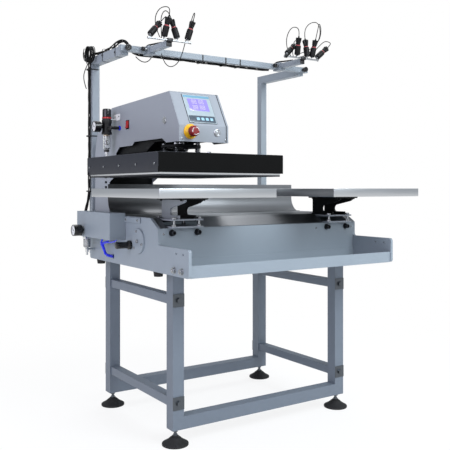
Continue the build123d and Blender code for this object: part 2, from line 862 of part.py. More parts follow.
def slope_plane():
    """The plane of the sloped control face, its origin at the fold, and the slope's length."""
    run = head_top_front[0] - head_front
    rise = head_top_front[1] - head_fold
    length = sqrt(run ** 2 + rise ** 2)
    normal = (0, -rise / length, run / length)
    return Plane(origin=(0, head_front, head_fold), x_dir=(1, 0, 0), z_dir=normal), length


def controls():
    """Push buttons, emergency stop, rocker and their rings."""
    hardware = []
    stop_x = head_left + estop_x
    start_x = head_left + start_button_x
    ring_part = rod((stop_x, head_front, estop_z), (0, -1, 0), 28, 3)
    ring_part += cone((stop_x, head_front - 3, estop_z), (0, -1, 0), 22, 17, 10)
    ring_part += rod((stop_x, head_front, estop_z), (0, 1, 0), 10.8, 22)
    ring_part -= rod((stop_x, head_front - 20, estop_z), (0, 1, 0), 8 + running_gap, 60)
    parts["estop_ring"] = ring_part
    cap = rod((stop_x, head_front - 18, estop_z), (0, -1, 0), estop_radius, 14)
    cap += cone((stop_x, head_front - 32, estop_z), (0, -1, 0), estop_radius - 1, estop_radius - 6, 8)
    cap += rod((stop_x, head_front - 18.5, estop_z), (0, 1, 0), 8, 32)
    parts["estop_button"] = cap

    for place, direction in (((start_x, head_front, estop_z), (0, -1, 0)),
                             ((head_left, side_button_y, side_button_z), (-1, 0, 0))):
        back = tuple(-value for value in direction)
        collar = rod(place, direction, ring_radius, 3)
        collar += rod(place, back, ring_radius - 1.2, 16)
        start = tuple(place[i] + direction[i] * 4 for i in range(3))
        collar -= rod(start, back, button_radius + running_gap, 22)
        hardware.append(collar)
        button = rod(start, back, button_radius, 14)
        parts["start_button" if direction[1] else "side_button"] = button

    bezel = block(head_left - 2, head_left + 12, rocker_y - 12.6, rocker_y + 12.6,
                  rocker_z - 16.6, rocker_z + 16.6)
    bezel += block(head_left - 2, head_left, rocker_y - 15, rocker_y + 15,
                   rocker_z - 19, rocker_z + 19)
    bezel -= block(head_left - 5, head_left + 20, rocker_y - rocker_width / 2 - 0.4,
                   rocker_y + rocker_width / 2 + 0.4, rocker_z - rocker_height / 2 - 1.2,
                   rocker_z + rocker_height / 2 + 1.2)
    pin_place = (head_left + 1, rocker_y - rocker_width / 2 - rocker_pin_reach, rocker_z)
    pin_length = rocker_width + 2 * rocker_pin_reach
    bezel -= rod(pin_place, (0, 1, 0), rocker_pin_radius + running_gap, pin_length)
    hardware.append(bezel)
    half = rocker_height / 2
    rocker_outline = [(-5, -half), (-3, 0), (-5, half), (6, half - 3), (6, -half + 3)]
    rocker = prism_y([(head_left + x, rocker_z + z) for x, z in rocker_outline],
                     rocker_y - rocker_width / 2, rocker_y + rocker_width / 2)
    rocker += rod(pin_place, (0, 1, 0), rocker_pin_radius, pin_length)
    pivot = Axis((head_left + 1, rocker_y, rocker_z), (0, 1, 0))
    parts["power_rocker"] = rocker.rotate(pivot, rocker_tilt)

    for x in (head_left + 13, head_right - 13):
        hardware.append(round_screw((x, head_front, head_bottom + 10), (0, -1, 0), 4, 2.5, 2, 6))
    parts["head_fasteners"] = hardware


def press_unit():
    """The heated plate with its hood, springs, bolts, flange and piston rod."""
    half = cover_width / 2
    tuck = half - cover_tuck
    outer = [(-half, cover_top), (-half, cover_bend_height), (-tuck, cover_bottom),
             (tuck, cover_bottom), (half, cover_bend_height), (half, cover_top)]
    wall = cover_wall
    inner = [(-half + wall, cover_top - wall), (-half + wall, cover_bend_height),
             (-tuck + wall, cover_bottom - 1), (tuck - wall, cover_bottom - 1),
             (half - wall, cover_bend_height), (half - wall, cover_top - wall)]
    hood = prism_y([(head_x + x, z) for x, z in outer], cover_front, cover_rear)
    hood -= prism_y([(head_x + x, z) for x, z in inner], cover_front + wall, cover_rear - wall)
    bolt_places = [(head_x + dx, press_y + dy) for dx in (-spring_offset, spring_offset)
                   for dy in (-spring_offset, spring_offset)]
    for x, y in bolt_places:
        hood -= rod((x, y, cover_top - 10), (0, 0, 1), bolt_radius + 0.3, 20)

    plate_half = cover_width / 2 - heater_margin_x
    plate = block(head_x - plate_half, head_x + plate_half, cover_front + heater_margin_y,
                  cover_rear - heater_margin_y, sole_bottom, heater_top)
    wool = block(head_x - plate_half, head_x + plate_half, cover_front + heater_margin_y,
                 cover_rear - heater_margin_y, heater_top, cover_top - wall - insulation_gap)
    bolts = []
    screws = []
    springs = []
    for x, y in bolt_places:
        bolts.append(hex_bolt((x, y, flange_top), (0, 0, 1), bolt_radius, 17, 8,
                              flange_top - heater_top + 14))
        plate -= rod((x, y, heater_top - 14), (0, 0, 1), bolt_radius + 0.1, 15)
        wool -= rod((x, y, heater_top - 1), (0, 0, 1), bolt_radius + 0.3, cover_top - heater_top)
        washer_top = cover_top + 2
        bolts.append(ring((x, y, cover_top), (0, 0, 1), spring_radius + 3, bolt_radius + 0.2, 2))
        low = washer_top + spring_seat_gap + spring_wire / 2
        high = flange_bottom - spring_seat_gap - spring_wire / 2
        springs.append(coil("press spring", Vector(x, y, low), Vector(1, 0, 0), Vector(0, 1, 0),
                            Vector(0, 0, 1), spring_radius, (high - low) / spring_turns,
                            spring_turns, spring_wire))
    for side in (-1, 1):
        for step in range(cover_screw_count):
            y = cover_front + cover_screw_inset + step * cover_screw_pitch
            x = head_x + side * half
            screws.append(round_screw((x, y, cover_screw_height), (side, 0, 0), 3.5, 1.5, 2, 6))
            hood -= rod((x - side * 8, y, cover_screw_height), (side, 0, 0), 2.1, 10)
    stud_place = (head_x - 35, cover_front + 46, cover_top)
    screws.append(hexagon(stud_place, (0, 0, 1), 13, 6) + rod(stud_place, (0, 0, 1), 4, 10))

    flange = rod((head_x, press_y, flange_bottom), (0, 0, 1), flange_radius,
                 flange_top - flange_bottom)
    for x, y in bolt_places:
        flange -= rod((x, y, flange_bottom - 1), (0, 0, 1), bolt_radius + 0.2, 20)
    piston_low = cylinder_top - 8 - 20
    flange += rod((head_x, press_y, flange_top - 1), (0, 0, 1), piston_rod_radius,
                  piston_low - flange_top + 2)
    flange += rod((head_x, press_y, piston_low), (0, 0, 1), cylinder_bore - running_gap, 14)
    parts["heater_cover"] = hood
    parts["heater_plate"] = plate
    parts["heater_insulation"] = wool
    parts["press_flange"] = flange
    parts["press_springs"] = springs
    parts["press_bolts"] = bolts + screws


def regulator():
    """The filter regulator with its gauge on the head's left side."""
    x = regulator_x
    y = regulator_y
    half = regulator_body_size / 2
    body = block(x - half, x + half, y - half, y + half, regulator_body_bottom, regulator_body_top)
    body = chamfer(body.edges().filter_by(Axis.Z), 8)
    body += rod((x, y, regulator_body_top), (0, 0, 1), 19.5, regulator_ring_top - regulator_body_top)
    body += rod((x, y, regulator_ring_top), (0, 0, 1), 8, 20)
    elbow_y = y - half - 26
    body += rod((x, y - half + 4, gauge_z - 6), (0, -1, 0), 9, 30)
    body += rod((x, elbow_y, gauge_z - 6), (1, 0, 0), 7, head_left - x)
    body += ring((head_left, elbow_y, gauge_z - 6), (-1, 0, 0), 9.5, 6.5, 6)
    plate_y0 = y - half - 8
    body += block(x + 14, head_left, plate_y0 + 10, y + 8, regulator_body_top, regulator_body_top + 4)
    body += block(head_left - 4, head_left, plate_y0 - 20, y + 8,
                  regulator_body_top - 4, regulator_body_top + 24)
    body -= rod((x, y, regulator_body_bottom - 1), (0, 0, 1), bowl_radius + 0.2, 9)
    parts["air_regulator"] = body
    bowl = rod((x, y, bowl_bottom), (0, 0, 1), bowl_radius, regulator_body_bottom + 7 - bowl_bottom)
    bowl = fillet(bowl.faces().sort_by(Axis.Z)[0].edges(), 5)
    bowl -= rod((x, y, bowl_bottom + 3), (0, 0, 1), bowl_radius - 2.5, 100)
    bowl += rod((x, y, bowl_bottom), (0, 0, -1), 5, 20)
    bowl += ring((x, y, bowl_bottom - 12), (0, 0, -1), 7.5, 4, 8)
    parts["regulator_bowl"] = bowl
    knob = rod((x, y, regulator_ring_top + 0.3), (0, 0, 1), regulator_knob_radius,
               regulator_knob_top - regulator_ring_top - 0.3)
    knob = chamfer(knob.faces().sort_by(Axis.Z)[-1].edges(), 2.5)
    for step in range(16):
        angle = step * pi / 8
        groove = (x + regulator_knob_radius * cos(angle), y + regulator_knob_radius * sin(angle),
                  regulator_ring_top)
        knob -= rod(groove, (0, 0, 1), 1.2, regulator_knob_top - regulator_ring_top - 8)
    knob -= rod((x, y, regulator_ring_top), (0, 0, 1), 8 + running_gap, 20.5)
    parts["regulator_knob"] = knob
    case = rod((x - half, y, gauge_z), (-1, 0, 0), 6, 8)
    case += rod((x - half - 8, y, gauge_z), (-1, 0, 0), gauge_radius, gauge_length)
    case -= rod((x - half - 8 - gauge_length + 3, y, gauge_z), (-1, 0, 0), gauge_radius - 2.5, 4)
    parts["regulator_gauge"] = case


def left_side():
    """The valve box with its gauge, inlet filter, air tubes, knob and bolted covers."""
    x0 = left_face - box_width
    case = block(x0, left_face, box_front, box_rear, box_bottom, box_top)
    case = fillet(case.edges().filter_by(Axis.Z), 2)
    case -= block(x0 + box_wall, left_face - box_wall, box_front + box_wall, box_rear - box_wall,
                  box_bottom + box_wall, box_top - box_wall)
    parts["valve_box"] = case
    gauge = rod((x0, box_gauge_y, box_gauge_z), (-1, 0, 0), 7, 9)
    gauge += rod((x0 - 8, box_gauge_y, box_gauge_z), (-1, 0, 0), box_gauge_radius,
                 box_gauge_length - 8)
    gauge -= rod((x0 - box_gauge_length + 3, box_gauge_y, box_gauge_z), (-1, 0, 0),
                 box_gauge_radius - 2.5, 4)
    parts["box_gauge"] = gauge

    inlet_x = left_face - 38
    inlet = block(inlet_x - 15, inlet_x + 15, inlet_y - 15, inlet_y + 15, box_bottom - 16, box_bottom)
    inlet += rod((inlet_x, inlet_y, box_bottom - 15), (0, 0, -1), 16, 38)
    inlet += rod((inlet_x, inlet_y, box_bottom - 50), (0, 0, -1), 9, 24)
    inlet += rod((inlet_x, inlet_y, inlet_bottom + inlet_length + 1), (0, 0, -1), inlet_radius,
                 inlet_length + 1)
    inlet += rod((inlet_x, inlet_y, box_bottom - 62), (1, 0, 0), 6, left_face - inlet_x)
    parts["inlet_filter"] = inlet

    tube_x = left_face - 27
    gather = Vector(left_face - 24, tube_exit_y + 40, tube_exit_height + 23)
    course = Vector(0.22, -0.35, -0.91).normalized()
    wrap = cable("tube bundle", [tuple(gather), tuple(gather + course * 20),
                                 (left_face - 5, tube_exit_y + 5, tube_exit_height + 2),
                                 (left_face + 4, tube_exit_y - 2, tube_exit_height)], 11)
    tubes = [wrap]
    mouth = Plane(origin=gather, z_dir=course)
    for index, (along, lean) in enumerate(((187, 3), (159, -6), (97, 4), (25, -2))):
        angle = pi / 4 + index * pi / 2
        seat = mouth.from_local_coords((2.6 * cos(angle), 2.6 * sin(angle), 0))
        bend = Vector(*seat) - course * 36
        start = (tube_x + lean, box_front + along, box_bottom - 4.3)
        fitting = Pos(*start) * Sphere(4)
        tubes.append(cable("air tube", [start, tuple(bend), tuple(seat)], 5) + fitting)
    parts["air_tubes"] = tubes

    knob_start = left_face - 1.5
    knob = rod((knob_start, side_knob_y, side_knob_z), (-1, 0, 0), side_knob_radius + 4.5, 12)
    knob += rod((knob_start - 11, side_knob_y, side_knob_z), (-1, 0, 0), side_knob_radius,
                side_knob_length - 11)
    knob = fillet(knob.faces().sort_by(Axis.X)[0].edges(), 3)
    knob -= rod((knob_start + 1, side_knob_y, side_knob_z), (-1, 0, 0), 6 + running_gap, 42)
    parts["side_knob"] = knob

    boss = rod((left_face, boss_y, boss_z), (-1, 0, 0), boss_radius, 7)
    boss = chamfer(boss.faces().sort_by(Axis.X)[0].edges(), 1.5)
    strip = block(left_face - 5, left_face, boss_y - 17, box_front, strip_low, strip_high)
    parts["side_covers"] = [boss, strip]


def body_fasteners(screws):
    """Bolts and screws that show on the body, and the spindle of the side knob."""
    x = left_face
    for y in (body_front + 48, body_front + 103):
        for side in (-1, 1):
            seat = (body_x + side * body_half, y, side_bolt_height)
            screws.append(hexagon(seat, (side, 0, 0), 19, 14))
    screws.append(hexagon((x - 7, boss_y, boss_z), (-1, 0, 0), 13, 6))
    for step in range(3):
        angle = pi * (0.42 + 2 * step / 3)
        place = (x - 7, boss_y + 40 * cos(angle), boss_z + 40 * sin(angle))
        screws.append(rod(place, (-1, 0, 0), 5, 4))
    for y in (boss_y + 4, boss_y + 110):
        screws.append(rod((x - 5, y, (strip_low + strip_high) / 2), (-1, 0, 0), 5, 4))
    edge = inner_half - 13
    for place_x in (body_x - edge, right_x - 117, body_x + edge):
        screws.append(rod((place_x, panel_y, panel_screw_height), (0, -1, 0), 4.5, 3))
    spindle = rod((x, side_knob_y, side_knob_z), (-1, 0, 0), 6, 40)
    screws.append(spindle)
    parts["body_fasteners"] = screws


def gantry():
    """The rear posts with forward arms, the cross rail and its clamp knobs."""
    tubes = []
    post_y = body_back + post_size / 2
    rail_half = cross_rail_size / 2
    rail_y = rail_line
    arm_height = arm_top - arm_bottom
    half_span = post_spread / 2
    for side in (-1, 1):
        x = body_x + side * half_span
        tubes.append(square_tube_z(x, post_y, post_bottom, arm_top, post_size, post_wall))
        tubes.append(square_tube_y(x, arm_front, body_back, (arm_top + arm_bottom) / 2,
                                   post_size, arm_height, post_wall))
        front = rail_y - rail_half
        knob = rod((x, front, cross_rail_z), (0, -1, 0), 7, 8)
        knob += rod((x, front - 7, cross_rail_z), (0, -1, 0), gantry_knob_radius, 16)
        parts["gantry_knob_left" if side < 0 else "gantry_knob_right"] = knob
    reach = half_span + post_size / 2 + cross_rail_overhang
    rail = square_tube_x(body_x - reach, body_x + reach, rail_y, cross_rail_z,
                         cross_rail_size, cross_rail_size, post_wall)
    parts["gantry_frame"] = tubes + [rail]


def laser_module(place, lean_x, lean_y):
    """One pointer: barrel, collar, lobed tail and boot, leaning about its ball."""
    top = laser_length - laser_socket
    barrel = Pos(0, 0, (top - laser_socket) / 2) * Cylinder(laser_radius, laser_length)
    barrel = fillet(barrel.faces().sort_by(Axis.Z)[0].edges(), 6)
    barrel -= Sphere(laser_ball_radius + 0.15)
    barrel += Pos(0, 0, top + collar_length / 2) * Cylinder(collar_radius, collar_length)
    star = Circle(tail_radius)
    for step in range(tail_lobes):
        angle = 2 * pi * step / tail_lobes
        star += Pos(tail_radius * cos(angle), tail_radius * sin(angle)) * Circle(tail_lobe_radius)
    barrel += Pos(0, 0, top + collar_length) * extrude(star, amount=tail_length)
    boot_z = top + collar_length + tail_length
    barrel += Pos(0, 0, boot_z + boot_length / 2) * Cone(4, 2.5, boot_length)
    turn = Rot(lean_y, lean_x, 0)
    end = Vector(0, 0, boot_z + boot_length)
    matrix_end = (turn * Pos(*end)).position
    return Pos(*place) * turn * barrel, Vector(*place) + matrix_end


def laser_carrier(name, x, rail_y, lasers, routes, rod_shift):
    """A sliding arm on the cross rail with its rod, pointers, clamp knob and leads."""
    rail_half = cross_rail_size / 2
    bore = rail_half + slide_gap
    outer = rail_half + clamp_wall
    front = rail_y - outer - clamp_nose
    arm_roof = laser_arm_z + laser_arm_size / 2
    half = laser_arm_size / 2
    clamp = block(x - 18, x + 18, front, rail_y + outer, cross_rail_z - outer, arm_roof + 4)
    clamp -= block(x - 19, x + 19, rail_y - bore, rail_y + bore, cross_rail_z - bore,
                   cross_rail_z + bore)
    arm = square_tube_y(x, laser_arm_end, front, laser_arm_z, laser_arm_size, laser_arm_size, 2)
    cap = block(x - half, x + half, laser_arm_end - 3, laser_arm_end, laser_arm_z - half,
                arm_roof)
    rod_z = laser_arm_z + laser_rod_rise
    saddle = block(x - 12, x + 12, laser_rod_y - 8, laser_arm_end - 3, rod_z - 7, rod_z + 8)
    saddle += block(x - 12, x + 12, laser_arm_end - 3, laser_arm_end + 14, arm_roof, rod_z + 8)
    saddle -= rod((x - 20, laser_rod_y, rod_z), (1, 0, 0), laser_rod_radius + running_gap, 40)
    lead = cable(name + " arm bundle",
                 [(x + 2, laser_arm_end + 70, arm_roof + arm_bundle / 2 + 0.3),
                  (x - 2, laser_arm_end + 114, arm_roof + 6.5),
                  (x + 1, rail_y - 26, arm_roof + 10.5), (x, rail_y + 4, arm_roof + 13),
                  (x - 1, rail_y + 25, arm_roof + 9), (x - 3, rail_y + 29, arm_roof - 7),
                  (x - 4, rail_y + 28, cross_rail_z - 4)],
                 arm_bundle)
    parts["laser_arm_" + name] = [clamp, arm, cap, saddle, lead]

    rod_x = x + rod_shift
    pointers = [rod((rod_x - laser_rod_length / 2, laser_rod_y, rod_z), (1, 0, 0),
                    laser_rod_radius, laser_rod_length)]
    leads = []
    for (offset, lean_x, lean_y), route in zip(lasers, routes):
        foot = rod_z + laser_rod_radius
        stem_x = rod_x + offset
        ball_z = foot + laser_stem_length
        stem = rod((stem_x, laser_rod_y, rod_z), (0, 0, 1), laser_stem_radius,
                   laser_rod_radius + laser_stem_length)
        stem += Pos(stem_x, laser_rod_y, ball_z) * Sphere(laser_ball_radius)
        pointers[0] += stem
        module, tail_end = laser_module((stem_x, laser_rod_y, ball_z), lean_x, lean_y)
        pointers.append(module)
        away = (tail_end - Vector(stem_x, laser_rod_y, ball_z)).normalized()
        points = [tuple(tail_end), tuple(tail_end + away * 24)]
        points += [(x + px, laser_rod_y + py, rod_z + pz) for px, py, pz in route]
        leads.append(cable(name + " lead", points, laser_cable))
    parts["lasers_" + name] = pointers
    parts["laser_leads_" + name] = leads

    knob_y = rail_y - outer - clamp_knob_gap
    knob = rod((x - 32, knob_y, laser_arm_z), (-1, 0, 0), 10, 14)
    knob += rod((x - 18, knob_y, laser_arm_z), (-1, 0, 0), 3.5, 15)
    knob += rod((x - 18, knob_y, laser_arm_z), (1, 0, 0), 3.5, 10)
    parts["laser_arm_" + name][0] -= rod((x - 20, knob_y, laser_arm_z), (1, 0, 0),
                                         3.5 + running_gap, 13)
    parts["clamp_knob_" + name] = knob


def cable_tie(x0, x1, y0, y1, z0, z1, normal):
    """A flat tie round a box-shaped bundle, its band across one axis."""
    grow = tie_thickness
    if normal == "x":
        outer = block(x0, x1, y0 - grow, y1 + grow, z0 - grow, z1 + grow)
        return outer - block(x0 - 1, x1 + 1, y0, y1, z0, z1)
    if normal == "y":
        outer = block(x0 - grow, x1 + grow, y0, y1, z0 - grow, z1 + grow)
        return outer - block(x0, x1, y0 - 1, y1 + 1, z0, z1)
    outer = block(x0 - grow, x1 + grow, y0 - grow, y1 + grow, z0, z1)
    return outer - block(x0, x1, y0, y1, z0 - 1, z1 + 1)


def harness(rail_y):
    """The bundled leads: behind the rail, over the left arm and down the left post."""
    rail_half = cross_rail_size / 2
    half = harness_diameter / 2
    back_y = rail_y + rail_half + clamp_wall + half + 4
    z = cross_rail_z - 12
    post_left = body_x - post_spread / 2 - post_size / 2
    post_x = body_x - post_spread / 2
    post_y = body_back + post_size / 2
    over = arm_top + half + 2
    down_x = post_left - half - 1
    route = [(right_carrier_x + body_x - 40, back_y, z)]
    for x in (260, 190, 110, 40, -30, -100, -170, -240, -310, -370):
        droop = 4 * sin(x / 55)
        route.append((body_x + x, back_y + droop / 2, z - abs(droop)))
    route += [(post_x + 66, back_y + 3, z - 2), (post_x + 38, back_y + 8, z + 14),
              (post_x + 30, back_y + 12, over + 10), (post_x + 16, back_y + 26, over + 27),
              (post_x - 1, back_y + 52, over + 20), (post_x - 3, back_y + 92, over + 6),
              (post_x + 2, back_y + 134, over + 5), (post_x - 3, back_y + 180, over + 1),
              (post_x - 4, body_back - 62, over + 1), (down_x, body_back - 20, over + 4),
              (down_x, post_y + 2, over - 22)]
    for step in range(1, 13):
        wave = 2.5 * sin(step * 1.7)
        route.append((down_x - 1.5 + wave / 2, post_y + wave, over - 20 - 52 * step))
    route += [(left_face - 12, body_back + 18, 905), (left_face - 30, box_rear + 36, 846),
              (left_face - 30, box_rear, 846)]
    pieces = [cable("harness", route, harness_diameter)]
    coil_pitch = coil_wire + 0.8
    coil_start = down_x - half - coil_wire / 2 + 6.1
    hub = Vector(coil_start, body_back - 28, arm_top + 5)
    pieces.append(coil("slack coil", hub, Vector(0, 1, 0), Vector(0, 0, 1), Vector(-1, 0, 0),
                       coil_radius, coil_pitch, coil_turns, coil_wire))
    coil_end = coil_start - coil_pitch * coil_turns - coil_wire / 2
    loose = loose_wire / 2
    pieces.append(cable("hanging loop", [
        (coil_end + 11.5, body_back - 20, hub.Z - coil_radius + 2.2 - coil_wire / 2 - loose - 0.3),
        (coil_end + 3, body_back - 10, arm_bottom - 18), (coil_end - 4, body_back, arm_bottom - 50),
        (coil_end + 6, body_back + 14, arm_bottom - 82),
        (down_x - half - loose - 8, post_y, arm_bottom - 108)], loose_wire))
    sag_y = back_y - 1
    pieces.append(cable("sagging lead", [
        (post_x + 62, sag_y + 3, z - 10.8), (post_x + 74, sag_y - 1, z - 25),
        (post_x + 100, sag_y - 3, z - 34), (post_x + 124, sag_y - 1, z - 25),
        (post_x + 136, sag_y + 1, z - 9.4)], loose_wire))
    arm_right = post_x + post_size / 2
    pieces.append(cable_tie(coil_end, arm_right, body_back - 30.5, body_back - 25.5,
                            arm_bottom, arm_top, "y"))
    for place in (body_x + 15, body_x - 110, body_x + 96):
        pieces.append(cable_tie(place, place + tie_width, rail_y - rail_half - 1,
                                back_y + half + 2.5, z - half - 4.5,
                                cross_rail_z + rail_half, "x"))
    for place, top in ((rail_y + 65, arm_top), (rail_y + 200, over + half + 4)):
        pieces.append(cable_tie(post_left, arm_right, place, place + tie_width, arm_bottom,
                                top, "y"))
    for place in post_tie_heights:
        pieces.append(cable_tie(down_x - half - 3.5, arm_right, body_back, body_back + post_size,
                                place, place + tie_width, "z"))
    parts["gantry_cables"] = pieces


stand()
body_shell()
all_screws = platens()
shuttle()
head()
controls()
press_unit()
regulator()
left_side()
body_fasteners(all_screws)
gantry()

# Each pointer: its place along the rod, its lean to the right and its lean to the front, in degrees
left_lasers = [(-90, 42, -14), (-26, 8, 14), (34, -14, -10), (84, 16, 6)]
right_lasers = [(-87, 50, -25), (-27, -6, 16), (33, -2, -8), (62, 8, 10), (94, 50, 4)]

# Each lead's hand-laid route after its boot: X from the carrier's middle, Y and Z from the rod
left_routes = [
    [(6, 37, 109), (14, 55, 81), (8, 61, 43), (4, 61, 19)],
    [(-16, -5, 137), (-34, 29, 133), (-40, 57, 99), (-26, 67, 53), (-10, 65, 21)],
    [(-4, 39, 133), (-8, 63, 107), (-4, 67, 61), (-3, 65, 19)],
    [(122, 8, 134), (130, 40, 116), (128, 66, 72), (122, 84, 20), (112, 96, -34),
     (90, 100, -76), (54, 100, -92), (28, 104, -70), (20, 110, -34)]]
right_routes = [
    [(-4, 53, 97), (-2, 73, 71), (-4, 73, 36), (-3, 67, 20)],
    [(-46, -11, 139), (-50, 25, 143), (-50, 57, 113), (-40, 75, 73), (-24, 75, 33),
     (-14, 67, 17)],
    [(34, 19, 155), (66, 19, 181), (104, 19, 187), (132, 29, 165), (142, 43, 123),
     (130, 61, 85), (102, 75, 49), (62, 79, 27), (26, 71, 19)],
    [(84, -11, 153), (100, -1, 179), (122, 11, 157), (126, 21, 117), (118, 43, 85),
     (92, 61, 61), (58, 71, 45), (26, 73, 35), (12, 69, 20)],
    [(176, 11, 99), (164, 35, 107), (150, 61, 83), (126, 77, 51), (88, 87, 27),
     (48, 89, 13), (18, 83, 9)]]
laser_carrier("left", left_carrier_x + body_x, rail_line, left_lasers, left_routes, 0)
laser_carrier("right", right_carrier_x + body_x, rail_line, right_lasers, right_routes, -8)
harness(rail_line)

for name, shape in parts.items():
    if isinstance(shape, list):
        solids = [solid for item in shape for solid in item.solids()]
        shape = Compound(children=solids)
    export_step(shape, "parts/" + name + ".step")
print(len(parts), "nodes written")
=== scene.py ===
import json
import bmesh
import bpy
from math import cos, pi, radians, sin, sqrt
from mathutils import Matrix, Vector


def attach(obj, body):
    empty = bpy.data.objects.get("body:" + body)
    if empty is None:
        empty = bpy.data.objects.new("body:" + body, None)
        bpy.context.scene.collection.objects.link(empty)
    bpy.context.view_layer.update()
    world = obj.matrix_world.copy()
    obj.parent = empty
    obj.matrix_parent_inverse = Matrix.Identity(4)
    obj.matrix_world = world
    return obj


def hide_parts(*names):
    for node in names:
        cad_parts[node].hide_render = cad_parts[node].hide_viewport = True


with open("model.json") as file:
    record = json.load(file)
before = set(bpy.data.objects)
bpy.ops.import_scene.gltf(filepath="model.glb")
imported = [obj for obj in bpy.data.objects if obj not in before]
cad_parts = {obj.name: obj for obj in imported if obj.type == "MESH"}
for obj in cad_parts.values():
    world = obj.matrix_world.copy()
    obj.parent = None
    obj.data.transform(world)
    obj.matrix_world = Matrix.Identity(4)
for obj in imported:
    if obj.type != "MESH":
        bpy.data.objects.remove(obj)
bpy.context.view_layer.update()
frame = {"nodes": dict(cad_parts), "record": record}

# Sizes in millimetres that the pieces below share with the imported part
press = {"pitch": 790, "bodyX": 7.5, "bodyHalf": 513, "headHalf": 107.5, "pressY": -179.5}
bodyX = press["bodyX"]
leftFace = bodyX - press["bodyHalf"]
rightFace = bodyX + press["bodyHalf"]
headX = bodyX - press["pitch"] / 2
rightX = bodyX + press["pitch"] / 2
headLeft = headX - press["headHalf"]
pressY = press["pressY"]
# directions that lathes and bolts look along
upward, downward = (0, 0, 1), (0, 0, -1)
leftward, rightward = (-1, 0, 0), (1, 0, 0)
frontward, rearward = (0, -1, 0), (0, 1, 0)
# points on each turn of a spring or a coil
turnSteps = 14


# Helpers for colour, nodes and meshes

def linearColour(code):
    parts = [int(code[i:i + 2], 16) / 255 for i in (1, 3, 5)]
    return tuple(v / 12.92 if v <= 0.04045 else ((v + 0.055) / 1.055) ** 2.4 for v in parts) + (1,)


def addNode(tree, kind, settings=None, links=None):
    node = tree.nodes.new(kind)
    for key, value in (settings or {}).items():
        if isinstance(key, int) or key in node.inputs:
            node.inputs[key].default_value = value
        else:
            setattr(node, key, value)
    for key, source in (links or {}).items():
        tree.links.new(source, node.inputs[key])
    return node


# The node tree of a material or a world, cleared
def emptyTree(holder):
    holder.use_nodes = True
    holder.node_tree.nodes.clear()
    return holder.node_tree


# colours: two hex codes mixed by noise; grain: mm, or mm along X, Y and Z
# bump: mm size, strength and stretch
def addSurface(name, rough, colours, grain, bump=None, edge=0.0, more=None):
    material = bpy.data.materials.new(name)
    tree = emptyTree(material)
    output = addNode(tree, "ShaderNodeOutputMaterial")
    body = addNode(tree, "ShaderNodeBsdfPrincipled", more)
    tree.links.new(body.outputs[0], output.inputs[0])
    place = addNode(tree, "ShaderNodeTexCoord")
    grain = (grain,) * 3 if isinstance(grain, int) else grain
    scaled = addNode(tree, "ShaderNodeMapping", {"Scale": [1000 / g for g in grain]},
        {"Vector": place.outputs["Object"]})
    noise = addNode(tree, "ShaderNodeTexNoise", {"Scale": 1.0, "Detail": 4.0, "Roughness": 0.6},
        {"Vector": scaled.outputs[0]})
    mix = addNode(tree, "ShaderNodeMix", {"data_type": "RGBA", 6: linearColour(colours[0]),
        7: linearColour(colours[1])}, {0: noise.outputs[0]})
    tree.links.new(mix.outputs[2], body.inputs["Base Color"])
    spread = addNode(tree, "ShaderNodeMapRange", {"To Min": max(rough - 0.06, 0.02),
        "To Max": min(rough + 0.08, 1.0)}, {"Value": noise.outputs[0]})
    tree.links.new(spread.outputs[0], body.inputs["Roughness"])
    normal = None
    if edge:
        normal = addNode(tree, "ShaderNodeBevel", {"samples": 4, "Radius": edge / 1000}).outputs[0]
    if bump:
        size, strength = bump[:2]
        stretch = bump[2] if len(bump) > 2 else (1, 1, 1)
        fine = addNode(tree, "ShaderNodeMapping", {"Scale": [1000 / size * s for s in stretch]},
            {"Vector": place.outputs["Object"]})
        texture = addNode(tree, "ShaderNodeTexNoise", {"Scale": 1.0, "Detail": 3.0},
            {"Vector": fine.outputs[0]})
        relief = addNode(tree, "ShaderNodeBump", {"Strength": strength, "Distance": 0.0004},
            {"Height": texture.outputs[0]})
        if normal:
            tree.links.new(normal, relief.inputs["Normal"])
        normal = relief.outputs[0]
    if normal:
        tree.links.new(normal, body.inputs["Normal"])
    return material


metal = {"Metallic": 1.0}
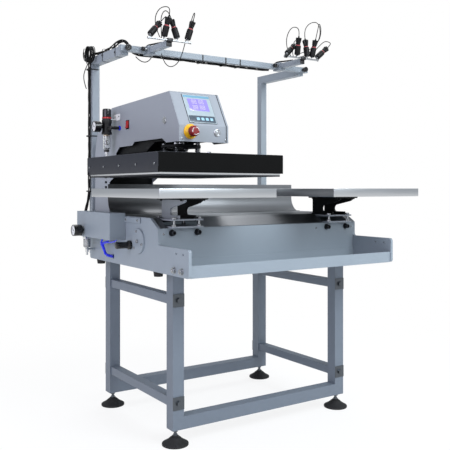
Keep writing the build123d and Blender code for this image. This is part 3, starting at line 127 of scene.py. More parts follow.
# Finishes, each named for the real one: real name, roughness, two colours, grain in mm,
# fine relief, worn edge in mm, other shader values
finishRows = {
    # polyester powder coat on steel: fine orange peel and a soft sheen
    "powderGrey": ("powderCoatBlueGrey", 0.42, ("#8A949D", "#848E97"), 90, (2.2, 0.10), 1.2,
        {"IOR": 1.5}),
    # the stand takes a darker, slightly rougher copy of the same coat, the gantry a paler one
    "powderStand": ("powderCoatStand", 0.46, ("#6A737E", "#656E79"), 90, (2.2, 0.10), 1.2,
        {"IOR": 1.5}),
    "powderGantry": ("powderCoatGantry", 0.42, ("#949DA5", "#8E979F"), 90, (2.2, 0.10), 1.2,
        {"IOR": 1.5}),
    "powderLight": ("powderCoatPaleGrey", 0.36, ("#959BA3", "#8F959D"), 90, (2.2, 0.08), 1.2,
        {"IOR": 1.5}),
    # dark enamel on folded sheet, in two copies: a slate painted sheen along its sides where the
    # light catches them, and painted shade near black on its ends
    "enamelSideSheen": ("ovenEnamelPaintedSheen", 0.5, ("#24272E", "#2A2D35"), 70, (1.6, 0.08), 1.6,
        {"Specular IOR Level": 0.22}),
    "enamelEndShade": ("ovenEnamelPaintedShade", 0.62, ("#0C0C0C", "#101010"), 70, (1.6, 0.08), 1.6,
        {"Specular IOR Level": 0.05}),
    "blackSteel": ("blackPaintedSteel", 0.52, ("#0F1112", "#16181A"), 40, (1.4, 0.12), 1.0,
        {"Specular IOR Level": 0.18}),
    # stainless sheet with a long grain along the machine
    "brushed": ("brushedStainless", 0.4, ("#828487", "#929497"), (260, 3, 3),
        (1.0, 0.12, (0.01, 1, 1)), 0.8, metal),
    # folded aluminium sheet under a clear film: bright and softly reflecting
    "foldedSheet": ("foldedAluminium", 0.3, ("#BFC2C6", "#CDD0D3"), (160, 160, 3),
        (1.2, 0.06, (0.02, 1, 1)), 0.8, metal),
    "castMetal": ("castAluminium", 0.45, ("#97999C", "#A8AAAD"), 12, (1.4, 0.3), 1.0, metal),
    "machined": ("machinedSteel", 0.28, ("#A9ACB0", "#BCBFC2"), (60, 4, 4), (1.0, 0.08), 0.6,
        metal),
    # bright zinc plate on bolts: slightly mottled mirror
    "zinc": ("brightZincPlate", 0.24, ("#94979A", "#AEB1B4"), 5, (1.0, 0.12), 0.7, metal),
    # zinc plate on the stand: darker and rougher than the bright zinc
    "dullZinc": ("dullZincPlate", 0.4, ("#555A5F", "#696E74"), 5, (1.0, 0.12), 0.7, metal),
    "chrome": ("nickelPlate", 0.12, ("#C9CBCD", "#DADCDE"), 20, None, 0.5, metal),
    "darkBolt": ("blackOxideSteel", 0.4, ("#24262A", "#33363B"), 6, (1.0, 0.2), 0.6,
        {"Metallic": 0.8}),
    # the heated plate's lower band, which shows under the hood: dark grey-black all over
    "alloyPlate": ("darkHeaterAlloy", 0.45, ("#1E2024", "#26282C"), (40, 6, 6), (1.0, 0.1), 0.6,
        {"Specular IOR Level": 0.25}),
    "wool": ("ceramicFibre", 0.95, ("#CFC7AC", "#B9B091"), 8, (2.5, 0.7)),
    "silicone": ("siliconeFoam", 0.7, ("#C2C6C8", "#B4B8BA"), 30, (1.6, 0.35)),
    "rubber": ("blackRubber", 0.75, ("#101011", "#1A1A1B"), 14, (1.2, 0.3), 0.8),
    "abs": ("mouldedBlackAbs", 0.42, ("#0D0D0F", "#141417"), 18, (1.0, 0.16), 0.6),
    "pointerAbs": ("pointerBlackAbs", 0.5, ("#060607", "#0B0B0C"), 18, (1.0, 0.16), 0.6,
        {"Specular IOR Level": 0.25}),
    "glossAbs": ("polishedBlackAbs", 0.22, ("#0B0B0D", "#121214"), 25, None, 0.6),
    "whiteAbs": ("whiteAbs", 0.35, ("#E2E4E4", "#D8DADA"), 25),
    # mushroom of the stop: a deeper, softer red than the rocker
    "stopRed": ("stopButtonRed", 0.42, ("#720A0E", "#800D12"), 20, None, 0.6),
    "redPlastic": ("redAcetal", 0.34, ("#A30E12", "#B01518"), 20, None, 0.6),
    "paleRed": ("redSleeve", 0.35, ("#9E2A30", "#C4666A"), 6),
    "yellowPlastic": ("yellowAbs", 0.34, ("#DCA60C", "#E6B313"), 20, None, 0.6),
    # polyurethane tube: even royal blue and a wet gloss
    "blueTube": ("polyurethaneBlue", 0.25, ("#1A28D8", "#2634E6"), 10),
    "pvc": ("blackPvc", 0.6, ("#060607", "#0B0B0C"), 12, (0.9, 0.1), 0,
        {"Specular IOR Level": 0.25}),
    "overlay": ("polyesterOverlay", 0.34, ("#9AA8AF", "#A4B0B6"), 60),
    "headBand": ("printedBlueBand", 0.34, ("#5F8FA8", "#6B9BB2"), 60),
    "lcd": ("liquidCrystalGlass", 0.14, ("#877AC8", "#9488CF"), 40, None, 0, {"Coat Weight": 0.4}),
    "amberRing": ("amberSealRing", 0.3, ("#C79F63", "#D6B07A"), 10),
    "lcdFigure": ("litCrystal", 0.2, ("#C9C0F4", "#D2CAF7"), 30),
    "keyStrip": ("darkKeyStrip", 0.38, ("#44505C", "#3C4853"), 30),
    "keyBlue": ("paleBlueKeyDome", 0.3, ("#8AB6CB", "#9DC4D6"), 10),
    "acrylic": ("clearAcrylic", 0.08, ("#E6EAEC", "#F2F4F5"), 20, None, 0, {"IOR": 1.49,
        "Transmission Weight": 0.85}),
    "bowl": ("clearPolycarbonate", 0.06, ("#EDF0F0", "#F5F7F7"), 40, None, 0, {"IOR": 1.58,
        "Transmission Weight": 0.92}),
}
finishes = {key: addSurface(*row) for key, row in finishRows.items()}
print("finishes made:", len(finishes))

finishOfSlot = {
    "grey_paint": "powderGrey", "light_paint": "powderLight", "black_steel": "blackSteel",
    "hood_black": "enamelSideSheen", "brushed_sheet": "brushed", "bright_sheet": "foldedSheet",
    "machined_steel": "machined", "aluminium_cast": "castMetal", "heater_alloy": "alloyPlate",
    "glass_wool": "wool", "silicone_pad": "silicone", "black_rubber": "rubber",
    "black_plastic": "abs", "gloss_black": "glossAbs", "zinc": "zinc", "red_plastic": "redPlastic",
    "yellow_plastic": "yellowPlastic", "display_blue": "overlay", "blue_tube": "blueTube",
    "clear_bowl": "bowl", "chrome": "chrome"}
finishOfNode = {"stand_legs": "powderStand", "stand_rails": "powderStand",
    "stand_fasteners": "dullZinc", "gantry_frame": "powderGantry"}
for part in frame["record"]["subparts"]:
    node = frame["nodes"][part["node"]]
    finish = finishes[finishOfNode.get(part["node"], finishOfSlot[part["material_slot"]])]
    for slot in node.material_slots:
        slot.material = finish
    if not node.material_slots:
        node.data.materials.append(finish)
print("finishes on the packed nodes")


def addBox(bm, low, high, edge=0.0, mat=0, segments=2):
    made = bmesh.ops.create_cube(bm, size=1)["verts"]
    for vert in made:
        vert.co = Vector([(low[i] + high[i]) / 2 + vert.co[i] * (high[i] - low[i])
            for i in range(3)])
    faces = {face for vert in made for face in vert.link_faces}
    for face in faces:
        face.material_index = mat
    if edge:
        edges = {line for face in faces for line in face.edges}
        bmesh.ops.bevel(bm, geom=list(edges), offset=edge, segments=segments, profile=0.5,
            affect="EDGES", material=-1)


def turnTo(direction):
    return Vector(direction).normalized().to_track_quat("Z", "Y").to_matrix().to_4x4()


# A lathe's profile with flat closed ends
def solid(*points):
    return [(0, points[0][1]), *points, (0, points[-1][1])]


# The profile of a plain rod
def rod(radius, length):
    return solid((radius, 0), (radius, length))


# profile: (radius, along) pairs from one end to the other, in millimetres
def addLathe(bm, profile, place, direction, steps=40, mat=0, ripple=None):
    frameOf = Matrix.Translation(Vector(place)) @ turnTo(direction)
    rings = []
    for radius, along in profile:
        if radius < 0.01:
            rings.append([bm.verts.new(frameOf @ Vector((0, 0, along)))])
            continue
        ring = []
        for step in range(steps):
            angle = 2 * pi * step / steps
            wide = radius * (1 + ripple(angle, along) if ripple else 1)
            spot = Vector((wide * cos(angle), wide * sin(angle), along))
            ring.append(bm.verts.new(frameOf @ spot))
        rings.append(ring)
    for lower, upper in zip(rings, rings[1:]):
        for step in range(steps):
            after = (step + 1) % steps
            if len(lower) == 1 and len(upper) == 1:
                continue
            if len(lower) == 1:
                face = bm.faces.new((lower[0], upper[after], upper[step]))
            elif len(upper) == 1:
                face = bm.faces.new((lower[step], lower[after], upper[0]))
            else:
                face = bm.faces.new((lower[step], lower[after], upper[after], upper[step]))
            face.material_index = mat
    for ring, flip in ((rings[0], True), (rings[-1], False)):
        if len(ring) > 1:
            face = bm.faces.new(ring[::-1] if flip else ring)
            face.material_index = mat


# Turned parts on one axis; rows: profile, place along the axis, steps, finish
def addStack(bm, place, direction, rows):
    for profile, along, steps, mat in rows:
        spot = tuple(p + d * along for p, d in zip(place, direction))
        addLathe(bm, profile, spot, direction, steps, mat)


# Grooves round a knob: depth as a share of its radius, number, sharpness, first and last place
def grooves(depth, number, power, low, high):
    return lambda angle, along: (-depth * max(0, cos(angle * number)) ** power
        if low < along < high else 0)


# An outline run along an axis between two places
def addPrism(bm, outline, low, high, axis="x", mat=0):
    def place(a, b, c):
        return (c, a, b) if axis == "x" else (a, c, b) if axis == "y" else (a, b, c)
    first = [bm.verts.new(place(a, b, low)) for a, b in outline]
    last = [bm.verts.new(place(a, b, high)) for a, b in outline]
    made = [bm.faces.new(first), bm.faces.new(last[::-1])]
    for index in range(len(outline)):
        after = (index + 1) % len(outline)
        made.append(bm.faces.new((first[index], last[index], last[after], first[after])))
    for face in made:
        face.material_index = mat


# Puts a finished piece in the scene on its body, in the place of the imported node that is named
def settle(piece, body, node):
    bpy.context.collection.objects.link(piece)
    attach(piece, body)
    if node:
        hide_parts(node)


# Turns millimetre mesh data into a piece that rides on a body
def addPiece(name, bm, materials, body, node, bevel=0.0):
    bmesh.ops.recalc_face_normals(bm, faces=bm.faces[:])
    for vert in bm.verts:
        vert.co *= 0.001
    mesh = bpy.data.meshes.new(name)
    bm.to_mesh(mesh)
    bm.free()
    for material in materials:
        mesh.materials.append(finishes[material])
    mesh.shade_smooth()
    mesh.set_sharp_from_angle(angle=radians(32))
    piece = bpy.data.objects.new(name, mesh)
    if bevel:
        rounding = piece.modifiers.new("edges", "BEVEL")
        rounding.width = bevel / 1000
        rounding.segments = 2
        rounding.limit_method = "ANGLE"
        rounding.harden_normals = True
    settle(piece, body, node)


# A curve with one smooth spline through each route's points
def makeCurve(name, routes, detail):
    curve = bpy.data.curves.new(name, "CURVE")
    curve.dimensions = "3D"
    curve.resolution_u = detail
    for route in routes:
        spline = curve.splines.new("NURBS")
        spline.points.add(len(route) - 1)
        for point, place in zip(spline.points, route):
            point.co = [value / 1000 for value in place] + [1]
        spline.order_u = 3
        spline.use_endpoint_u = True
    return curve


# Round leads along given routes
def addLeads(name, routes, diameter, finish, body, node):
    curve = makeCurve(name, routes, 10)
    curve.bevel_depth = diameter / 2000
    curve.bevel_resolution = 4
    curve.use_fill_caps = True
    curve.materials.append(finishes[finish])
    settle(bpy.data.objects.new(name, curve), body, node)


# Moves a small part into place and adds it to a piece's mesh data
def addPart(bm, part, place):
    part.transform(place)
    mesh = bpy.data.meshes.new("part")
    part.to_mesh(mesh)
    part.free()
    bm.from_mesh(mesh)
    bpy.data.meshes.remove(mesh)


# Geometry Nodes: rows of screws

# A row of fasteners: start, step between them, count, and the fastener's own size
def makeRowTree():
    tree = bpy.data.node_groups.new("fastenerRow", "GeometryNodeTree")
    tree.interface.new_socket(name="Geometry", in_out="OUTPUT", socket_type="NodeSocketGeometry")
    for name, kind, value in (("Start", "Vector", (0, 0, 0)), ("Step", "Vector", (0, 0.1, 0)),
            ("Count", "Int", 4), ("Sides", "Int", 24), ("Radius", "Float", 0.004),
            ("Height", "Float", 0.002), ("Turn", "Vector", (0, 0, 0)),
            ("Finish", "Material", None)):
        socket = tree.interface.new_socket(name=name, in_out="INPUT",
            socket_type="NodeSocket" + kind)
        socket.default_value = value
    given = addNode(tree, "NodeGroupInput").outputs
    line = addNode(tree, "GeometryNodeMeshLine", {"mode": "OFFSET"},
        {"Count": given["Count"], "Start Location": given["Start"], "Offset": given["Step"]})
    stub = addNode(tree, "GeometryNodeMeshCylinder", {}, {"Vertices": given["Sides"],
        "Radius": given["Radius"], "Depth": given["Height"]})
    domeSize = addNode(tree, "ShaderNodeMath", {"operation": "MULTIPLY", 1: 0.92},
        {0: given["Radius"]})
    dome = addNode(tree, "GeometryNodeMeshCylinder", {}, {"Vertices": given["Sides"],
        "Radius": domeSize.outputs[0], "Depth": given["Height"]})
    lift = addNode(tree, "ShaderNodeMath", {"operation": "MULTIPLY", 1: 0.25}, {0: given["Height"]})
    liftVector = addNode(tree, "ShaderNodeCombineXYZ", {}, {"Z": lift.outputs[0]})
    raised = addNode(tree, "GeometryNodeTransform", {}, {"Geometry": dome.outputs[0],
        "Translation": liftVector.outputs[0]})
    joined = addNode(tree, "GeometryNodeJoinGeometry")
    tree.links.new(stub.outputs[0], joined.inputs[0])
    tree.links.new(raised.outputs[0], joined.inputs[0])
    turned = addNode(tree, "GeometryNodeTransform", {}, {"Geometry": joined.outputs[0],
        "Rotation": given["Turn"]})
    placed = addNode(tree, "GeometryNodeInstanceOnPoints", {},
        {"Points": line.outputs[0], "Instance": turned.outputs[0]})
    real = addNode(tree, "GeometryNodeRealizeInstances", {}, {"Geometry": placed.outputs[0]})
    painted = addNode(tree, "GeometryNodeSetMaterial", {}, {"Geometry": real.outputs[0],
        "Material": given["Finish"]})
    result = addNode(tree, "NodeGroupOutput")
    tree.links.new(painted.outputs[0], result.inputs[0])
    return tree


rowTree = makeRowTree()


# Evaluates a tree once and keeps its result as a plain mesh piece
def addFromTree(name, tree, values, body):
    carrier = bpy.data.objects.new(name + "Maker", bpy.data.meshes.new(name + "Maker"))
    bpy.context.collection.objects.link(carrier)
    maker = carrier.modifiers.new("maker", "NODES")
    maker.node_group = tree
    sockets = {item.name: item.identifier for item in tree.interface.items_tree
        if item.in_out == "INPUT"}
    for key, value in values.items():
        maker[sockets[key]] = value
    evaluated = carrier.evaluated_get(bpy.context.evaluated_depsgraph_get())
    mesh = bpy.data.meshes.new_from_object(evaluated)
    bpy.data.objects.remove(carrier)
    mesh.name = name
    mesh.shade_smooth()
    mesh.set_sharp_from_angle(angle=radians(40))
    settle(bpy.data.objects.new(name, mesh), body, None)


def metres(*values):
    return [value / 1000 for value in values]


# Lower platens: folded trays and silicone pads
platen = {"width": 500, "front": -469, "rear": 121, "bottom": 966, "top": 1000, "wall": 3,
    "padEdge": 2.2, "recess": 0.5, "baseThickness": 12}
front, rear, low, high, wall = [platen[key] for key in ("front", "rear", "bottom", "top", "wall")]
for side, x in (("Left", headX), ("Right", rightX)):
    x0 = x - platen["width"] / 2
    x1 = x + platen["width"] / 2
    floorZ = low + platen["baseThickness"]
    bm = bmesh.new()
    addBox(bm, (x0 + 1, front + 1, low), (x1 - 1, rear - 1, floorZ))
    # four rims whose upper edges are rolled, with a fine wrapped seam at each corner
    seam = 0.35
    addBox(bm, (x0 + seam, front, low + 0.2), (x1 - seam, front + wall, high), 1.1, 0, 3)
    addBox(bm, (x0 + seam, rear - wall, low + 0.2), (x1 - seam, rear, high), 1.1, 0, 3)
    addBox(bm, (x0, front + 2.2, low + 0.2), (x0 + wall, rear - 2.2, high - 0.1), 1.1, 0, 3)
    addBox(bm, (x1 - wall, front + 2.2, low + 0.2), (x1, rear - 2.2, high - 0.1), 1.1, 0, 3)
    for cornerX in (x0, x1):
        for cornerY in (front, rear):
            inX = 1 if cornerX == x0 else -1
            inY = 1 if cornerY == front else -1
            addLathe(bm, [(0, 0), (2.9, 0), (2.9, 31), (2.2, 33.4), (0, 33.8)],
                (cornerX + 3.0 * inX, cornerY + 3.0 * inY, low + 0.1), upward, 20)
    addPiece("platenTray" + side, bm, ["foldedSheet"], "bench", "platen_trays")
    bm = bmesh.new()
    gap = wall + 0.3
    addBox(bm, (x0 + gap, front + gap, floorZ + 0.1),
        (x1 - gap, rear - gap, high - platen["recess"]), platen["padEdge"], 0, 4)
    addPiece("platenPad" + side, bm, ["silicone"], "bench", "platen_pads")
print("platens made")


# Brackets: C plates that are one part, the left bracket's outer plate pale grey and the rest dark:
# painted light and shade
bracket = {"halfGap": 32, "plate": 8, "platenBottom": 966, "topPlate": 9, "baseTop": 882,
    "topHalf": 62, "topFront": -284, "topRear": -92, "nutX": 50, "nutY": (-270, -110)}
top = bracket["platenBottom"] - bracket["topPlate"]
foot = bracket["baseTop"]
throat = [(-279, top), (-279, top - 6), (-266, top - 13), (-171, top - 32), (-164, top - 38),
    (-161, top - 46), (-161, foot + 24), (-164, foot + 18), (-171, foot + 14), (-230, foot + 14),
    (-230, foot), (-95, foot), (-95, top)]
bm = bmesh.new()
for x in (headX, rightX):
    for side in (-1, 1):
        inner = x + side * bracket["halfGap"]
        outer = inner + side * bracket["plate"]
        # pale finish for the left bracket's outer plate only, a painted highlight where the light
        # falls; the other plates dark as painted shade
        plateLightShade = 1 if side == -1 and x == headX else 0
        addPrism(bm, throat, min(inner, outer), max(inner, outer), "x", plateLightShade)
    addBox(bm, (x - bracket["topHalf"], bracket["topFront"], top),
        (x + bracket["topHalf"], bracket["topRear"], bracket["platenBottom"] - 0.1), 0.8)
    # clinch nuts under the platen plate
    for dx in (-bracket["nutX"], bracket["nutX"]):
        for y in bracket["nutY"]:
            addLathe(bm, solid((6, 0), (6, 4), (4.4, 5)), (x + dx, y, top - 5), upward, 6)
addPiece("bracketPlates", bm, ["blackSteel", "powderLight"], "bench", "bracket_plates",
    0.8)
print("brackets made")


# Heated plate: hood with rolled edges, springs, bolts and flange
hood = {"width": 530, "front": -489, "rear": 126, "top": 1125, "bottom": 1055, "bend": 1074,
    "tuck": 7, "roll": 4, "wall": 2}


# The right half of the hood's outline, from its lower edge to the end of its rolled edge
def hoodSection(shrink, drop):
    wide = hood["width"] / 2 - shrink
    low = wide - hood["tuck"]
    roll = max(hood["roll"] - shrink, 0.8)
    topZ = hood["top"] - drop
    line = [(low, hood["bottom"]), (wide, hood["bend"])]
    for step in range(6):
        angle = pi / 2 * step / 5
        line.append((wide - roll + roll * cos(angle), topZ - roll + roll * sin(angle)))
    return line


outerLine = hoodSection(0, 0)
innerLine = hoodSection(hood["wall"], hood["wall"])
outline = outerLine + [(-a, b) for a, b in outerLine[::-1]]
outline += [(-a, b) for a, b in innerLine] + innerLine[::-1]
bm = bmesh.new()
addPrism(bm, [(headX + a, b) for a, b in outline], hood["front"], hood["rear"], "y")
# end plates in the darker copy of the enamel: painted shade
for y0, y1 in ((hood["front"], hood["front"] + hood["wall"]), (hood["rear"] - hood["wall"],
        hood["rear"])):
    square = [(hood["width"] / 2 - 0.2, hood["bottom"] + 0.2)]
    square += [(a - 0.2, b - 0.1) for a, b in outerLine[1:]]
    endLine = [(headX + a, b) for a, b in square + [(-a, b) for a, b in square[::-1]]]
    addPrism(bm, endLine, y0 - 0.02, y1 + 0.02, "y", 1)
addPiece("heaterHood", bm, ["enamelSideSheen", "enamelEndShade"], "press", "heater_cover", 1.0)

heater = {"half": 253, "front": -485, "rear": 122, "bottom": 1044.15, "darkBand": 5.2, "top": 1079}
bm = bmesh.new()
darkBandTop = heater["bottom"] + heater["darkBand"]
# lower band, dark grey-black all over, and the bright plate above it
addBox(bm, (headX - heater["half"], heater["front"], heater["bottom"]),
    (headX + heater["half"], heater["rear"], darkBandTop), 0.8)
addBox(bm, (headX - heater["half"] + 0.4, heater["front"] + 0.4, darkBandTop),
    (headX + heater["half"] - 0.4, heater["rear"] - 0.4, heater["top"]), 0.5, 1)
addPiece("heaterPlate", bm, ["alloyPlate", "foldedSheet"], "press", "heater_plate")

hoodScrew = {"reach": 266, "inset": 25, "height": 1085, "pitch": 141, "count": 5, "radius": 4.2,
    "head": 2.6, "sides": 20}
for side, hand in (("Left", -1), ("Right", 1)):
    start = (headX + hand * hoodScrew["reach"], hood["front"] + hoodScrew["inset"],
        hoodScrew["height"])
    addFromTree("hoodScrews" + side, rowTree,
        {"Start": metres(*start), "Step": metres(0, hoodScrew["pitch"], 0),
        "Count": hoodScrew["count"], "Sides": hoodScrew["sides"],
        "Radius": hoodScrew["radius"] / 1000, "Height": hoodScrew["head"] / 1000,
        "Turn": (0, hand * pi / 2, 0), "Finish": finishes["zinc"]}, "press")


# A hex head with a chamfered crown, on a washer if one is given
def addHexBolt(bm, place, direction, across, height, mat=0, washer=0):
    corner = across / sqrt(3)
    if washer:
        addLathe(bm, solid((washer, 0), (washer, 1.4), (washer - 0.5, 1.8)), place, direction, 32,
            mat)
        place = Vector(place) + Vector(direction).normalized() * 1.8
    addLathe(bm, [(0, 0), (corner, 0), (corner, height * 0.8)], place, direction, 6, mat)
    addLathe(bm, [(0, height * 0.8), (corner * 0.97, height * 0.8), (corner * 0.84, height),
        (corner * 0.3, height), (0, height * 0.93)], place, direction, 24, mat)


bolts = {"offset": 48, "across": 17, "head": 8, "radius": 5, "flangeTop": 1170,
    "flangeBottom": 1158, "rod": 12.5}
corners = [(headX + dx, pressY + dy) for dx in (-bolts["offset"], bolts["offset"])
    for dy in (-bolts["offset"], bolts["offset"])]
bm = bmesh.new()
for x, y in corners:
    addHexBolt(bm, (x, y, bolts["flangeTop"]), upward, bolts["across"], bolts["head"])
    addLathe(bm, rod(bolts["radius"], 60), (x, y, bolts["flangeBottom"] - 58), upward, 24)
    addLathe(bm, [(5.2, 0), (12.5, 0), (12.5, 1.6), (12, 2), (5.2, 2)], (x, y, hood["top"]),
        upward, 32)
addHexBolt(bm, (headX - 35, hood["front"] + 46, hood["top"]), upward, 13, 6)
addPiece("pressBolts", bm, ["zinc"], "press", "press_bolts")

bm = bmesh.new()
piston = {"low": 1272, "radius": 39.95}
lift = piston["low"] - bolts["flangeBottom"]
addLathe(bm, [(0, 0), (76.5, 0), (78, 1.5), (78, 10.5), (76.5, 12), (bolts["rod"] + 1, 12)],
    (headX, pressY, bolts["flangeBottom"]), upward, 72)
addLathe(bm, [(bolts["rod"] + 1, 12), (bolts["rod"], 12.8), (bolts["rod"], lift + 0.2)],
    (headX, pressY, bolts["flangeBottom"]), upward, 48, 1)
addLathe(bm, solid((38.6, 0), (piston["radius"], 1.4), (piston["radius"], 4), (37.6, 4.4),
    (37.6, 9.6), (piston["radius"], 10), (piston["radius"], 12.6), (38.6, 14)),
    (headX, pressY, piston["low"]), upward, 64, 1)
addPiece("pressFlange", bm, ["blackSteel", "machined"], "press", "press_flange")

spring = {"radius": 9.5, "wire": 3, "turns": 6, "low": 1129, "high": 1156.1}
springRoutes = []
steps = spring["turns"] * turnSteps
reach = spring["radius"] * 1.02
for x, y in corners:
    route = []
    for step in range(steps + 1):
        angle = 2 * pi * step / turnSteps
        rise = (spring["high"] - spring["low"]) * step / steps
        route.append((x + reach * cos(angle), y + reach * sin(angle), spring["low"] + rise))
    springRoutes.append(route)
addLeads("pressSprings", springRoutes, spring["wire"], "darkBolt", "press", "press_springs")
print("heated plate made")


# Control panel on the sloped face
panel = {"width": 122, "length": 130, "left": 47, "start": 10, "headFront": -353, "fold": 1234,
    "topFront": (-280, 1363), "lcdWidth": 86, "lcdHeight": 55, "lcdTop": 20, "stripHeight": 29,
    "keyStart": 42, "keyWidth": 13, "keyHeight": 12, "keyPitch": 19.5}
run = panel["topFront"][0] - panel["headFront"]
rise = panel["topFront"][1] - panel["fold"]
slope = sqrt(run ** 2 + rise ** 2)
upSlope = Vector((0, run / slope, rise / slope))
outSlope = Vector((0, -rise / slope, run / slope))
facePlace = Matrix(((1, upSlope.x, outSlope.x, headLeft),
    (0, upSlope.y, outSlope.y, panel["headFront"]), (0, upSlope.z, outSlope.z, panel["fold"]),
    (0, 0, 0, 1)))


# A plate on the sloped face: across, up the slope, and out from it
def addOnFace(bm, low, high, edge, mat, corner=0.0):
    part = bmesh.new()
    addBox(part, low, high, 0, mat)
    if corner:
        upright = [e for e in part.edges if abs(e.verts[0].co.z - e.verts[1].co.z) > 0.1]
        bmesh.ops.bevel(part, geom=upright, offset=corner, segments=5, profile=0.5, affect="EDGES",
            material=-1)
    if edge:
        rim = [e for e in part.edges if min(v.co.z for v in e.verts) > high[2] - 0.01]
        bmesh.ops.bevel(part, geom=rim, offset=edge, segments=2, profile=0.5, affect="EDGES",
            material=-1)
    addPart(bm, part, facePlace)


bm = bmesh.new()
x0 = panel["left"]
x1 = x0 + panel["width"]
y1 = slope - panel["start"]
y0 = y1 - panel["length"]
# dark base whose rim round the overlay is painted shade along the display's edges, pale overlay,
# blue head band, screen in its frame, key strip and keys
addOnFace(bm, (x0, y0, -3), (x1, y1, 1.2), 0.4, 0, 3)
addOnFace(bm, (x0 + 1.5, y0 + 1.5, 1.1), (x1 - 1.5, y1 - 1.5, 2.2), 0.4, 1, 2.5)
addOnFace(bm, (x0 + 4, y1 - 15, 2.0), (x1 - 4, y1 - 5, 2.6), 0.2, 5, 1.5)
lcdX = (x0 + x1) / 2 - panel["lcdWidth"] / 2
lcdY = y1 - panel["lcdTop"] - panel["lcdHeight"]
addOnFace(bm, (lcdX - 2.5, lcdY - 2.5, 2.0), (lcdX + panel["lcdWidth"] + 2.5,
    lcdY + panel["lcdHeight"] + 2.5, 2.7), 0.3, 1, 2)
addOnFace(bm, (lcdX, lcdY, 2.4), (lcdX + panel["lcdWidth"], lcdY + panel["lcdHeight"], 3.0), 0.3,
    2, 1)
# plain seven-bar figures on the screen
for column, row in ((0, 0), (1, 0), (0, 1), (1, 1)):
    for digit in range(2):
        left = lcdX + 17 + column * 31 + digit * 12
        low = lcdY + 8 + row * 25
        for bar in ((0, 0, 8, 1.2), (0, 8, 8, 9.2), (0, 16, 8, 17.2), (0, 0, 1.3, 8.6),
                (0, 8.6, 1.3, 17.2), (6.7, 0, 8, 8.6), (6.7, 8.6, 8, 17.2)):
            addOnFace(bm, (left + bar[0], low + bar[1], 2.9), (left + bar[2], low + bar[3], 3.08),
                0, 6)
stripLow = y0 + 4
stripHigh = stripLow + panel["stripHeight"]
addOnFace(bm, (x0 + 4, stripLow, 2.0), (x1 - 5, stripHigh, 2.7), 0.2, 3, 2.5)
for step in range(4):
    keyX = x0 + panel["keyStart"] + step * panel["keyPitch"]
    keyY = (stripLow + stripHigh) / 2
    addOnFace(bm, (keyX - panel["keyWidth"] / 2, keyY - panel["keyHeight"] / 2, 2.5),
        (keyX + panel["keyWidth"] / 2, keyY + panel["keyHeight"] / 2, 3.5), 0.5, 4, 2)
addPiece("controlDisplay", bm, ["abs", "overlay", "lcd", "keyStrip", "keyBlue", "headBand",
    "lcdFigure"], "head", "control_display")

# Black strip in the shut line between the head's covers and its right side panel: painted shade for
# the dark gap
shutLineShade = {"right": 207.5, "width": 3.2, "proud": 0.5, "depth": 2.0, "bottom": 1173}
bm = bmesh.new()
edge0 = headLeft + shutLineShade["right"] - shutLineShade["width"]
edge1 = headLeft + shutLineShade["right"]
front = panel["headFront"]
top = panel["topFront"]
out = shutLineShade["proud"]
deep = shutLineShade["depth"]
addPrism(bm, [(front - out, shutLineShade["bottom"]), (front - out, panel["fold"] + 0.2),
    (top[0] - out * 0.85, top[1] + out * 0.6), (top[0] + deep, top[1] - deep),
    (front + deep, panel["fold"] - 0.5), (front + deep, shutLineShade["bottom"])], edge0, edge1)
addPiece("headShutLineShade", bm, ["rubber"], "head", None)

# Emergency stop, push buttons and rocker
button = {"stopX": 48, "startX": 164, "z": 1209, "front": -353, "sideY": -245, "sideZ": 1256,
    "screwX": (13, 202), "screwZ": 1182}
stopPlace = (headLeft + button["stopX"], button["front"], button["z"])
bm = bmesh.new()
addLathe(bm, [(10.8, -22), (10.8, 0), (28, 0.02), (28, 2.2), (27, 3), (23, 3.3), (22, 5),
    (18.4, 12), (17, 13), (8.1, 13), (8.1, -22)], stopPlace, frontward, 56)
addPiece("stopRing", bm, ["yellowPlastic"], "head", "estop_ring")
bm = bmesh.new()
addLathe(bm, [(0, -14), (8, -14), (8, 18), (18.5, 18), (20, 19.2), (20, 30), (19.2, 33.5),
    (17, 37), (13.5, 39.4), (8, 40), (0, 39.2)], stopPlace, frontward, 56, 0,
    grooves(0.035, 16, 4, 19.5, 31))
# three raised turn-to-release arrows
for step in range(3):
    sweep = []
    for inner in (True, False):
        for part in range(7):
            angle = radians(120 * step + (part if inner else 6 - part) * 11)
            reach = 12.8 if inner else 14.3
            sweep.append((reach * cos(angle), reach * sin(angle)))
    head = radians(120 * step + 72)
    sweep[6:8] = [(11.6 * cos(head), 11.6 * sin(head)),
        (13.5 * cos(head + 0.22), 13.5 * sin(head + 0.22)), (15.5 * cos(head), 15.5 * sin(head))]
    local = bmesh.new()
    addPrism(local, sweep, 37.4, 39.85, "z", 1)
    addPart(bm, local, Matrix.Translation(Vector(stopPlace)) @ turnTo(frontward))
addPiece("stopMushroom", bm, ["stopRed", "whiteAbs"], "estop_mushroom", "estop_button")

